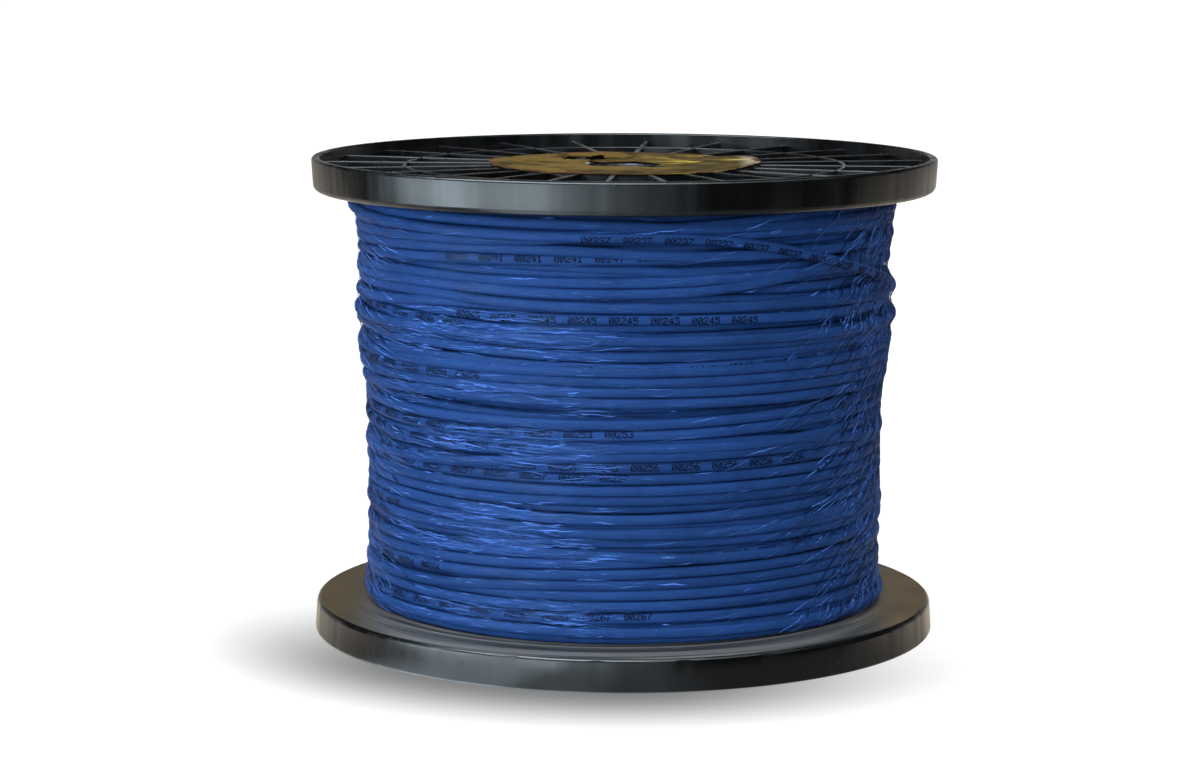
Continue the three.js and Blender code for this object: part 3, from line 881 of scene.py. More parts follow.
@lru_cache
def label_paper():
    """Tan paper: mottled, with painted highlights on its crests and on slopes turned to the front, a
    painted highlight on its lifted right tip, and painted shade in its folds and on slopes turned to the
    back.
    """
    settings = bpy.context.scene.reel_label
    paint = Paint("tan_label_paper")
    ramp, mix = paint.ramp, paint.mix
    rise = paint.kept("rise")
    mottle = paint.noise(paint.point, 110.0, 4.0, 0.6)
    fibres = paint.noise(paint.point, 1900.0, 2.0, 0.6)
    slope = paint.split(paint.wire("ShaderNodeNewGeometry", output="Normal"))[1]
    tint = mix(ramp(mottle, 0.42, 0.58), opaque(settings.paper, 0.30), opaque(settings.paper, 1.25))
    # Painted shade: slopes turned to the back are darker.
    tint = mix(ramp(slope, -0.02, 0.10), tint, opaque(settings.paper, 0.12))
    x, y, _ = paint.split(paint.point)
    # Painted highlight on the crests and on slopes turned to the front: pale tan at the left, bright yellow
    # at the right.
    light = mix(ramp(x, 0.005, 0.045), opaque(settings.paper, 2.0), opaque(settings.fold))
    crest = paint.math("MAXIMUM", ramp(rise, 0.62, 0.80), ramp(slope, -0.05, -0.18))
    sheened = mix(crest * 0.9, tint, light)
    # Painted shade in the hollows of the folds.
    folded = mix(ramp(rise, 0.42, 0.24, 0.0, 0.85), sheened, opaque(settings.paper, 0.15))
    # Painted highlight on the lifted tip at the right.
    folded = mix(ramp(x, 0.054, 0.062, 0.0, 0.8), folded, opaque(settings.tip))
    radius = paint.math("SQRT", x**2.0 + y**2.0)
    rust = ramp(radius, 0.0625, 0.0645) * ramp(mottle, 0.40, 0.55)
    folded = mix(rust, folded, opaque(settings.edge))
    return paint.solid(folded, 0.75, (fibres + mottle * 4.0, 0.6, 0.00008), specular=0.12)


@lru_cache
def clear_film():
    """Clear stretch film: it only adds a wavy gloss to what lies under it."""
    paint = Paint("clear_stretch_film")
    pulled = paint.pulled(0.5, 0.5, 1.6)
    ripple = paint.noise(pulled, 330.0, 3.0, 0.6, 0.4)
    slack = paint.noise(pulled, 70.0, 2.0, 0.5)
    bump = paint.bump(ripple + slack * 2.0, 0.7, 0.00025)
    clear = paint.add("ShaderNodeBsdfTransparent", {"Color": (0.96, 0.97, 1.0, 1.0)})
    feeds = {"Color": (0.75, 0.85, 1.0, 1.0), "Roughness": 0.22, "Normal": bump}
    gloss = paint.add("ShaderNodeBsdfAnisotropic", feeds)
    fresnel = paint.wire("ShaderNodeFresnel", {"IOR": 1.5, "Normal": bump})
    share = fresnel * paint.ramp(slack, 0.40, 0.7, 0.01, 0.12)
    return paint.finish(paint.add("ShaderNodeMixShader", {0: share, 1: clear, 2: gloss}))


@lru_cache
def creased_film():
    """Film folded on itself, painted light blue as the glints that its creases catch."""
    settings = bpy.context.scene.reel_film
    paint = Paint("creased_film")
    streaks = paint.noise(paint.pulled(0.35, 0.35, 2.2), 900.0, 2.0, 0.6)
    # Painted glint, brighter on some creases and in streaks.
    light = paint.ramp(paint.kept("shine"), 0.25, 1.0) * paint.ramp(streaks, 0.30, 0.55)
    tint = paint.mix(light, opaque(settings.crease, 0.42), opaque(settings.crease, 1.0))
    return paint.solid(tint, 0.5, (streaks, 0.5, 0.0001), specular=0.05)


@lru_cache
def gathered_film():
    """Film gathered in folds over the blue cable: painted dark navy as shade beside it, with painted
    highlights in patches on some folds.
    """
    settings = bpy.context.scene.reel_film
    paint = Paint("gathered_film")
    patches = paint.noise(paint.point, 500.0, 3.0, 0.6)
    # Painted highlight in patches; elsewhere the folds keep the painted shade of the gathered colour.
    light = paint.ramp(paint.kept("shine"), 0.40, 0.8) * paint.ramp(patches, 0.38, 0.55)
    tint = paint.mix(light, opaque(settings.gathered), opaque(settings.crease, 0.75))
    return paint.solid(tint, 0.5, (patches, 0.5, 0.0001), specular=0.04)


# ---------------------------------------------------------------- winding


BINS = 120  # even angles round the axis at which the lie of each turn is kept
START_ANGLE = math.pi / 2  # the cable starts and ends behind the reel
LAYERS = 3  # outer layers that are laid turn by turn
OVERLAP = 30  # bins of the turn before that lead into the next one where it is smoothed
TAUT_SPAN = 9  # bins before and after a place that a taut cable may bridge
CORE_ROWS = 26  # heights at which the unevenness of the core is drawn
CORE_PASSES = 60  # times that this unevenness is smoothed round the axis

# what a turn weighs up as it settles
DEPTH_COST = 550  # for each metre of radius at which it rests
STRAY_COST = 0.11  # for each square millimetre from its target
SHIFT_COST = 0.9  # for each square millimetre from bin to bin
OUTSIDE_COST = 5.0  # for a place beyond a flange


def smooth_noise(rng, count, spacing):
    """Smooth noise of about unit size along a line, its bumps about spacing samples apart."""
    knots = rng.normal(size=int(count / spacing) + 5)
    at = np.arange(count) / spacing + 1.5
    first = at.astype(int)
    t = at - first
    a, b, c, d = (knots[first + k] for k in (-1, 0, 1, 2))
    bend = (2 * a - 5 * b + 4 * c - d) * t**2
    return 0.5 * (2 * b + (c - a) * t + bend + (3 * b - a - 3 * c + d) * t**3)


def smoothed(values, reach):
    """Values averaged over their neighbours, its ends held."""
    weights = np.exp(-0.5 * (np.arange(-3 * reach, 3 * reach + 1) / reach) ** 2)
    padded = np.pad(values, 3 * reach, mode="edge")
    return np.convolve(padded, weights / weights.sum(), mode="valid")


def eased(value, low, high):
    """0 below low, 1 above high, and a smooth step between."""
    share = np.clip((value - low) / (high - low), 0, 1)
    return share * share * (3 - 2 * share)


def outside_radius(heights, settings):
    """Mean radius over the outermost turns: fuller in the upper third and next to the flanges."""
    share = (heights - LOWER_FACE) / (UPPER_FACE - LOWER_FACE)
    return (
        settings.waist
        + settings.upper_swell * eased(share, 0.46, 0.64)
        + settings.top_swell * eased(share, 0.86, 0.98)
        + settings.foot_swell * eased(share, 0.10, 0.0)
    )


def core_surface(heights, bins, settings, lumps):
    """Radius of what lies under the three outer layers."""
    three_layers = settings.radius * (2 + 4 * math.sqrt(3) / 2)
    row = np.clip((heights - LOWER_FACE) / (UPPER_FACE - LOWER_FACE), 0, 1) * (lumps.shape[1] - 1)
    first = np.minimum(row.astype(int), lumps.shape[1] - 2)
    t = row - first
    lump = lumps[bins, first] * (1 - t) + lumps[bins, first + 1] * t
    return outside_radius(heights, settings) - three_layers + lump


def support(heights, bins, turns, settings, lumps):
    """Radius at which a cable at these heights rests on the core and the turns already laid."""
    reach = 2 * settings.radius
    rest = core_surface(heights, bins, settings, lumps) + settings.radius
    if len(turns):
        laid = np.array(turns)[:, :, bins]
        apart = heights - laid[:, 0]
        over = laid[:, 1] + np.sqrt(np.maximum(reach**2 - apart**2, 0))
        over[np.abs(apart) >= reach] = 0
        rest = np.maximum(rest, over.max(axis=0))
    return rest


def settle(target, turns, settings, lumps, low, high):
    """Heights that one turn takes up near its target, where it drops into the grooves beneath."""
    offsets = np.linspace(-1.1, 1.1, 19) * settings.radius * 2
    bins = np.arange(BINS)
    heights = target[:, None] + offsets[None, :]
    outside = (heights < low) | (heights > high)
    heights = np.clip(heights, low, high)
    rest = np.stack(
        [support(heights[:, k], bins, turns, settings, lumps) for k in range(len(offsets))], axis=1
    )
    cost = rest * DEPTH_COST + STRAY_COST * (offsets[None, :] * 1000) ** 2 + OUTSIDE_COST * outside
    total = cost[0]
    back = np.zeros((BINS, len(offsets)), int)
    for j in range(1, BINS):
        step = (heights[j][None, :] - heights[j - 1][:, None]) * 1000
        ways = total[:, None] + SHIFT_COST * step**2
        back[j] = ways.argmin(axis=0)
        total = ways.min(axis=0) + cost[j]
    chosen = np.zeros(BINS, int)
    chosen[-1] = total.argmin()
    for j in range(BINS - 1, 0, -1):
        chosen[j - 1] = back[j, chosen[j]]
    return heights[bins, chosen]


def pulled_taut(rest):
    """The radius of a cable that is pulled straight over the dips in what it rests on."""
    step = 2 * math.pi / BINS
    count = len(rest)
    taut = rest.copy()
    for before in range(1, TAUT_SPAN + 1):
        for after in range(1, TAUT_SPAN + 1):
            i = np.arange(before, count - after)
            a, b = rest[i - before], rest[i + after]
            chord = a * b * math.sin((before + after) * step)
            chord /= b * math.sin(after * step) + a * math.sin(before * step)
            taut[i] = np.maximum(taut[i], chord)
    return taut


def pressed(radii, heights, layers_above, settings):
    """Radii with what stands proud of its layer pressed in, as the turns under it give way."""
    layer = outside_radius(heights, settings) - settings.radius * (1 + math.sqrt(3) * layers_above)
    off = radii - layer
    kept = np.sign(off) * (settings.proud + settings.pressing * (np.abs(off) - settings.proud))
    return layer + np.where(np.abs(off) > settings.proud, kept, off)


def led_in(turns, row, values):
    """Values with the end of the turn before in front of them."""
    return np.concatenate([turns[-1][row][-OVERLAP:], values])


def lay_last_turns(turns, settings, lumps, high):
    """Three more turns: they stay at the upper flange, slant down across the others and go on."""
    count = 3
    sink = 0.0078  # from the flange to where the slanting part starts
    wave = 0.0004  # how far these turns wander up and down
    steps = count * BINS
    turn = np.arange(steps) / BINS
    steepness = eased(turn, 0.52, 0.60) * eased(turn, 0.82, 0.74)
    heights = high - sink * eased(turn, 0.10, 0.45) - np.cumsum(steepness) / BINS * settings.slant
    heights -= 2.2 * settings.radius * np.maximum(turn - 0.80, 0)
    heights += wave * np.sin(2 * np.pi * turn * 1.7)
    heights = smoothed(led_in(turns, 0, heights), 3)[OVERLAP:]
    tuck = 1.1 * 2 * settings.radius * eased(turn, 1.93, 2.05)
    for k in range(count):
        part = slice(k * BINS, (k + 1) * BINS)
        rest = support(heights[part], np.arange(BINS), turns, settings, lumps)
        rest = pressed(rest, heights[part], -0.55, settings)
        radii = smoothed(pulled_taut(led_in(turns, 1, rest)), 2)[OVERLAP:] - tuck[part]
        turns.append(np.stack([heights[part], radii]))


@lru_cache
def wound_cable():
    """The centre line of the three outer layers, as arrays of heights and radii, one row a turn.

    Each turn is laid in order: it settles into the grooves of those beneath and is pulled taut.
    """
    settings = bpy.context.scene.reel_cable
    rng = np.random.default_rng(settings.seed)
    low = LOWER_FACE + settings.gap + settings.radius
    high = UPPER_FACE - settings.gap - settings.radius
    field = rng.normal(size=(BINS, CORE_ROWS))
    for _ in range(CORE_PASSES):
        field = (np.roll(field, 1, 0) + field + np.roll(field, -1, 0)) / 3
    field = np.apply_along_axis(lambda line: smoothed(line, 1), 1, field)
    lumps = settings.unevenness * field / field.std()
    per_layer = int(settings.turns)
    turns = []
    for layer in range(LAYERS):
        steps = per_layer * BINS
        share = np.arange(steps) / steps
        if layer % 2:
            share = 1 - share
        wander = settings.wander * smooth_noise(rng, steps, 0.4 * BINS)
        drift = settings.drift * smooth_noise(rng, steps, 4.0 * BINS)
        guide = np.clip(low + (high - low) * share + wander + drift, low, high)
        for k in range(per_layer):
            target = guide[k * BINS : (k + 1) * BINS]
            heights = settle(target, turns, settings, lumps, low, high)
            if turns:
                heights = smoothed(led_in(turns, 0, heights), 3)[OVERLAP:]
                heights[0] = (heights[0] + turns[-1][0][-1]) / 2
            else:
                heights = smoothed(heights, 3)
            rest = support(heights, np.arange(BINS), turns, settings, lumps)
            rest = pressed(rest, heights, LAYERS - 1 - layer, settings)
            if turns:
                radii = smoothed(pulled_taut(led_in(turns, 1, rest)), 1)[OVERLAP:]
            else:
                radii = pulled_taut(rest)
            turns.append(np.stack([heights, radii]))
    lay_last_turns(turns, settings, lumps, high)
    return np.array(turns), per_layer


def wound_power(settings):
    """The power in the formula of the cable's slightly squared outline."""
    return 2 / (1 - settings.squareness)


def path_points(turns):
    """Points of a path that follows rows of turns."""
    heights = turns[:, 0].ravel()
    radii = turns[:, 1].ravel()
    turn = START_ANGLE + np.arange(len(heights)) * 2 * np.pi / BINS
    return np.stack([radii * np.cos(turn), radii * np.sin(turn), heights], axis=1)


def tube(name, points, sides, settings):
    """One cable along a path."""
    obj = new_object(name, points, edges=[(i, i + 1) for i in range(len(points) - 1)])
    values = {
        "Radius": settings.radius,
        "Sides": sides,
        "Squareness": 1 - settings.squareness,
        "Material": blue_jacket(),
    }
    grow(obj, tube_tree(), values)
    return bake(obj)


# ---------------------------------------------------------------- pieces


SPIGOT_INSET = 0.0043  # how far the spigot's outside lies in from the barrel's outside
BOLT_PLAY = 0.0003  # round a bolt, in the holes that it passes through
SEAT_GAP = 0.0003  # between a bolt's head and its washer
SHARP = math.radians(35)  # edges of metal pieces that bend further than this stay sharp


def flange_body(name, settings):
    """One flange moulding at the origin, its inner face at height 0 and its ribs up."""
    material = black_plastic()
    bore, boss = settings.boss_bore, settings.boss_bore + settings.boss_wall
    spigot = BARREL_BOX[1].x - SPIGOT_INSET
    rim_inside = settings.radius - settings.rim_wall
    half_root, half_tip = settings.rib_root / 2, settings.rib_tip / 2
    hub_inside = settings.hub_radius - settings.hub_wall
    web = settings.web
    corners = [
        (bore, -settings.boss_depth, 0.0003),
        (boss, -settings.boss_depth, 0.0008),
        (boss, 0.0, 0.0010),
        (spigot - settings.spigot_wall, 0.0, 0.0010),
        (spigot - settings.spigot_wall, -settings.spigot_depth, 0.0005),
        (spigot - 0.0005, -settings.spigot_depth, 0.0006),
        (spigot, 0.0, 0.0004),
        (settings.radius - settings.rim_draft, 0.0, settings.foot_round),
        (settings.radius, settings.rim_height, settings.lip_round),
        (rim_inside, settings.rim_height, 0.0007),
        (rim_inside - settings.rim_draft / 2, web, 0.0010),
        (settings.ring_rib_radius + half_root, web, 0.0006),
        (settings.ring_rib_radius + half_tip, settings.rib_top, settings.rib_round),
        (settings.ring_rib_radius - half_tip, settings.rib_top, settings.rib_round),
        (settings.ring_rib_radius - half_root, web, 0.0006),
        (settings.hub_radius, web, 0.0008),
        (settings.hub_radius - 0.0004, settings.hub_top, 0.0006),
        (hub_inside, settings.hub_top, 0.0006),
        (hub_inside - 0.0004, web, 0.0008),
        (boss, web, 0.0008),
        (boss - 0.0004, settings.boss_top, 0.0004),
        (bore, settings.boss_top, 0.0003),
    ]
    body = turned(name + "_body", corners, 240, material, steps=5)
    hub_middle = settings.hub_radius - settings.hub_wall / 2
    rim_middle = settings.radius - settings.rim_wall / 2 - settings.rim_draft / 2
    hardware = bpy.context.scene.reel_hardware
    common = {
        "Foot Height": web / 2,
        "Root Width": settings.rib_root,
        "Tip Width": settings.rib_tip,
        "Edge Round": settings.rib_round,
        "Material": material,
    }
    long_ribs = {
        "Count": settings.rib_count,
        "Start Angle": settings.rib_start,
        "Inner Radius": hub_middle,
        "Outer Radius": rim_middle,
        "Top Height": settings.rib_top,
    }
    grow(body, ribs_tree(), {**common, **long_ribs})
    for height, extra in ((settings.low_hub_rib, 0.0), (settings.tall_hub_rib, math.pi / 4)):
        hub_ribs = {
            "Count": hardware.bolt_count,
            "Start Angle": hardware.bolt_start + extra,
            "Inner Radius": boss - settings.boss_wall / 2,
            "Outer Radius": hub_middle,
            "Top Height": height,
        }
        grow(body, ribs_tree(), {**common, **hub_ribs})
    bake(body, crease=math.radians(40))
    outside = settings.pocket_radius + settings.pocket_wall
    lip_top = settings.seat_height + settings.seat_lip
    hole = hardware.bolt_radius + BOLT_PLAY
    seat_corners = [
        (hole, web / 2, 0.0),
        (outside + 0.0005, web / 2, 0.0),
        (outside, lip_top, 0.0006),
        (settings.pocket_radius, lip_top, 0.0004),
        (settings.pocket_radius, settings.seat_height, 0.0004),
        (hole, settings.seat_height, 0.0003),
    ]
    places = {
        "Count": hardware.bolt_count,
        "Circle Radius": hardware.bolt_circle,
        "Start Angle": hardware.bolt_start,
    }
    seats = turned(name + "_seats", seat_corners, 48, material, copies=places)
    bake(seats, crease=math.radians(40))
    whole = joined(name, [body, seats], material)
    whole.data.shade_smooth()
    whole.data.set_sharp_from_angle(angle=math.radians(40))
    return whole


def upper_place():
    """Carries a shape from the origin to the upper end of the reel."""
    return Matrix.Translation((0, 0, UPPER_FACE))


def lower_place():
    """Turns a shape over and carries it to the lower end, its bosses under the upper ones."""
    start = bpy.context.scene.reel_hardware.bolt_start
    over = Matrix.Rotation(math.pi, 4, "X") @ Matrix.Rotation(-2 * start, 4, "Z")
    return Matrix.Translation((0, 0, LOWER_FACE)) @ over


def both_ends():
    """The names of the two ends and how a shape gets there from the origin."""
    return ("upper", upper_place()), ("lower", lower_place())


class REEL_OT_flanges(Operator):
    """Make the two ribbed flange mouldings"""

    bl_idname = "reel.flanges"
    bl_label = "Flanges"

    def execute(self, context):
        settings = context.scene.reel_flange
        for end, place in both_ends():
            flange = flange_body(end + "_flange_moulding", settings)
            flange.data.transform(place)
            seat(flange, "black_plastic", end + "_flange")
        return {"FINISHED"}


class REEL_OT_bushes(Operator):
    """Make the two steel bushes and paint the barrel"""

    bl_idname = "reel.bushes"
    bl_label = "Bushes and barrel"

    def execute(self, context):
        settings = context.scene.reel_hardware
        flange = context.scene.reel_flange
        inside, outside = settings.arbor_radius, settings.arbor_radius + settings.bush_wall
        collar = outside + settings.collar_width
        top = settings.collar_top
        corners = [
            (inside, -flange.boss_depth, 0.0002),
            (outside - 0.0008, -flange.boss_depth, 0.0002),
            (outside, -flange.boss_depth + 0.0008, 0.0002),
            (outside, top - settings.collar_thickness, 0.0002),
            (collar, top - settings.collar_thickness, 0.0003),
            (collar, top, 0.0005),
            (inside + 0.0008, top, 0.0003),
            (inside, top - 0.0008, 0.0003),
        ]
        for end, place in both_ends():
            bush = bake(turned(end + "_steel_bush", corners, 128, bush_steel()), SHARP)
            bush.data.transform(place)
            seat(bush, "bush_steel", end + "_bush")
        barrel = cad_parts["barrel"]
        barrel.material_slots[0].material = fibre_board()
        return {"FINISHED"}


class REEL_OT_fasteners(Operator):
    """Make the tie bolts, washers and nuts"""

    bl_idname = "reel.fasteners"
    bl_label = "Bolts, washers and nuts"

    def execute(self, context):
        settings = context.scene.reel_hardware
        places = {
            "Count": settings.bolt_count,
            "Circle Radius": settings.bolt_circle,
            "Start Angle": settings.bolt_start,
            "Material": zinc_steel(),
        }
        names = [str(i + 1) for i in range(settings.bolt_count)]
        self.make_bolts(settings, places, names)
        for end in ("upper", "lower"):
            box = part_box(end + "_washer_1")
            inside = settings.bolt_radius + BOLT_PLAY
            outside = (box[1].x - box[0].x) / 2
            corners = [
                (inside, box[0].z, 0.0002),
                (outside, box[0].z, 0.0004),
                (outside, box[1].z, 0.0004),
                (inside, box[1].z, 0.0002),
            ]
            washers = turned(end + "_washers", corners, 64, zinc_steel(), 3, copies=places)
            bake(washers, SHARP)
            seat(washers, "zinc_steel", *[f"{end}_washer_{n}" for n in names])
        self.make_nuts(settings, places, names)
        return {"FINISHED"}

    def make_bolts(self, settings, places, names):
        """Bolts with a plain domed head, threaded at the tip."""
        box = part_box("tie_bolt_1")
        head_radius = (box[1].x - box[0].x) / 2
        head_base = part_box("upper_washer_1")[1].z + SEAT_GAP
        crown = box[1].z - head_base
        sides = 48
        steps_per_pitch = 6
        groove_share = 0.55  # depth of the thread, as a share of its pitch
        chamfer = 0.0008
        side_share = 0.28  # height of the head's upright side, as a share of the head
        turn = even_turns(sides)
        foot = box[0].z
        rings = [ring(0.0, foot, sides), ring(settings.bolt_radius - chamfer, foot, sides)]
        rows = int(settings.thread_length / settings.thread_pitch * steps_per_pitch)
        for row in range(1, rows + 1):
            height = foot + settings.thread_length * row / rows
            phase = (height / settings.thread_pitch - turn / (2 * np.pi)) % 1.0
            groove = groove_share * settings.thread_pitch * (1 - np.abs(2 * phase - 1))
            run_out = min(1.0, (rows - row) / steps_per_pitch)
            tip = max(0.0, 1 - (height - foot) / chamfer) * chamfer
            rings.append(ring(settings.bolt_radius - groove * run_out - tip, height, sides))
        rings.append(ring(settings.bolt_radius, head_base, sides))
        rings.append(ring(head_radius - 0.0002, head_base, sides))
        rings.append(ring(head_radius, head_base + 0.0002, sides))
        for share in np.linspace(0.0, 1.0, 9):
            bow = share * math.pi / 2
            height = head_base + crown * (side_share + (1 - side_share) * math.sin(bow))
            rings.append(ring(head_radius * math.cos(bow), height, sides))
        bolts = lofted("tie_bolts", rings, zinc_steel())
        grow(bolts, copies_tree(), places)
        bake(bolts, SHARP)
        seat(bolts, "zinc_steel", *["tie_bolt_" + n for n in names])

    def make_nuts(self, settings, places, names):
        """Hexagon nuts, chamfered top and bottom."""
        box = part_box("nut_1")
        across = 0.010  # from flat to flat
        chamfer_share = 0.97  # where the chamfer starts, as a share of the way to a flat
        sides = 72
        from_flat = (even_turns(sides) % (math.pi / 3)) - math.pi / 6
        outline = across / 2 / np.cos(from_flat)
        chamfer_radius = across / 2 * chamfer_share
        drop = (outline - chamfer_radius) * math.tan(math.radians(30))
        hole = settings.bolt_radius + 0.0001
        rings = [
            ring(hole, box[0].z + 0.0004, sides),
            ring(hole + 0.0004, box[0].z, sides),
            ring(chamfer_radius, box[0].z, sides),
            ring(outline, box[0].z + drop, sides),
            ring(outline, box[1].z - drop, sides),
            ring(chamfer_radius, box[1].z, sides),
            ring(hole + 0.0004, box[1].z, sides),
            ring(hole, box[1].z - 0.0004, sides),
        ]
        nuts = lofted("nuts", rings, zinc_steel(), closed=True)
        grow(nuts, copies_tree(), places)
        bake(nuts, math.radians(25))
        seat(nuts, "zinc_steel", *["nut_" + n for n in names])


DIGIT_DOTS = {
    "0": "01110 10001 10011 10101 11001 10001 01110",
    "1": "00100 01100 00100 00100 00100 00100 01110",
    "2": "01110 10001 00001 00110 01000 10000 11111",
    "3": "01110 10001 00001 00110 00001 10001 01110",
    "4": "00010 00110 01010 10010 11111 00010 00010",
    "5": "11111 10000 11110 00001 00001 10001 01110",
    "6": "00110 01000 10000 11110 10001 10001 01110",
    "7": "11111 00001 00010 00100 01000 01000 01000",
    "8": "01110 10001 10001 01110 10001 10001 01110",
    "9": "01110 10001 10001 01111 00001 00010 01100",
}


class REEL_OT_cable(Operator):
    """Wind the outer layers of the cable and print its metre marks"""

    bl_idname = "reel.cable"
    bl_label = "Cable"

    def execute(self, context):
        settings = context.scene.reel_cable
        turns, per_layer = wound_cable()
        under, shown = turns[: 2 * per_layer], turns[2 * per_layer :]
        under = tube("cable_under_layers", path_points(under), 8, settings)
        seat(under, "cable_jacket", "inner_winding")
        unwound = 0.93  # share of the last turn that is left out
        path = path_points(shown)[: -int(unwound * BINS)]
        outer = tube("cable_outer_layer", path, 16, settings)
        seat(outer, "cable_jacket", "outer_winding")
        self.print_marks(settings, path)
        return {"FINISHED"}

    def print_marks(self, settings, path):
        """Rows of plain numbers, printed in dots on the jacket at each metre."""
        rng = np.random.default_rng(3)
        rows = 7
        columns = 6  # of a digit with the space after it
        missing = 0.06  # share of the dots that left no ink
        ahead = 0.004  # how far along the cable its direction is taken
        ink = 0.00009  # how far the ink stands off the jacket
        steps = np.linalg.norm(np.diff(path, axis=0), axis=1)
        along = np.concatenate([[0.0], np.cumsum(steps)])
        dot = settings.mark_height / rows
        at, up, faced = [], [], []
        for metre in range(1, int(along[-1])):
            number_text = f"{settings.first_mark - metre:05d}"
            text = "  ".join([number_text] * int(rng.integers(8, 17)))
            start = metre + rng.uniform(-0.15, 0.15)
            facing = rng.uniform(-0.55, 0.75)
            if start + len(text) * columns * dot > along[-1]:
                continue
            for place, digit in enumerate(text):
                if digit == " ":
                    continue
                for row, dots in enumerate(DIGIT_DOTS[digit].split()):
                    for column, inked in enumerate(dots):
                        if inked == "1" and rng.uniform() > missing:
                            at.append(start + (place * columns + column) * dot)
                            up.append((rows // 2 - row) * dot)
                            faced.append(facing)
        corners = np.array([(-1, -1), (1, -1), (1, 1), (-1, 1)]) * 0.62 * dot
        at = (np.array(at)[:, None] + corners[None, :, 0]).ravel()
        up = (np.array(up)[:, None] + corners[None, :, 1]).ravel()
        turn = np.repeat(faced, 4) + up / settings.radius

        def on_path(place):
            return np.stack([np.interp(place, along, path[:, axis]) for axis in range(3)], axis=1)

        forward = on_path(at + ahead) - on_path(at - ahead)
        forward /= np.linalg.norm(forward, axis=1)[:, None]
        outward = np.cross(forward, (0.0, 0.0, 1.0))
        outward /= np.linalg.norm(outward, axis=1)[:, None]
        upward = np.cross(outward, forward)
        power = wound_power(settings)
        reach = (np.abs(np.cos(turn)) ** power + np.abs(np.sin(turn)) ** power) ** (-1 / power)
        reach = (reach * settings.radius + ink)[:, None]
        facing = np.cos(turn)[:, None] * outward + np.sin(turn)[:, None] * upward
        points = on_path(at) + reach * facing
        faces = [tuple(range(first, first + 4)) for first in range(0, len(points), 4)]
        seat(new_object("metre_marks", points, faces=faces, material=mark_ink()), "black_plastic")


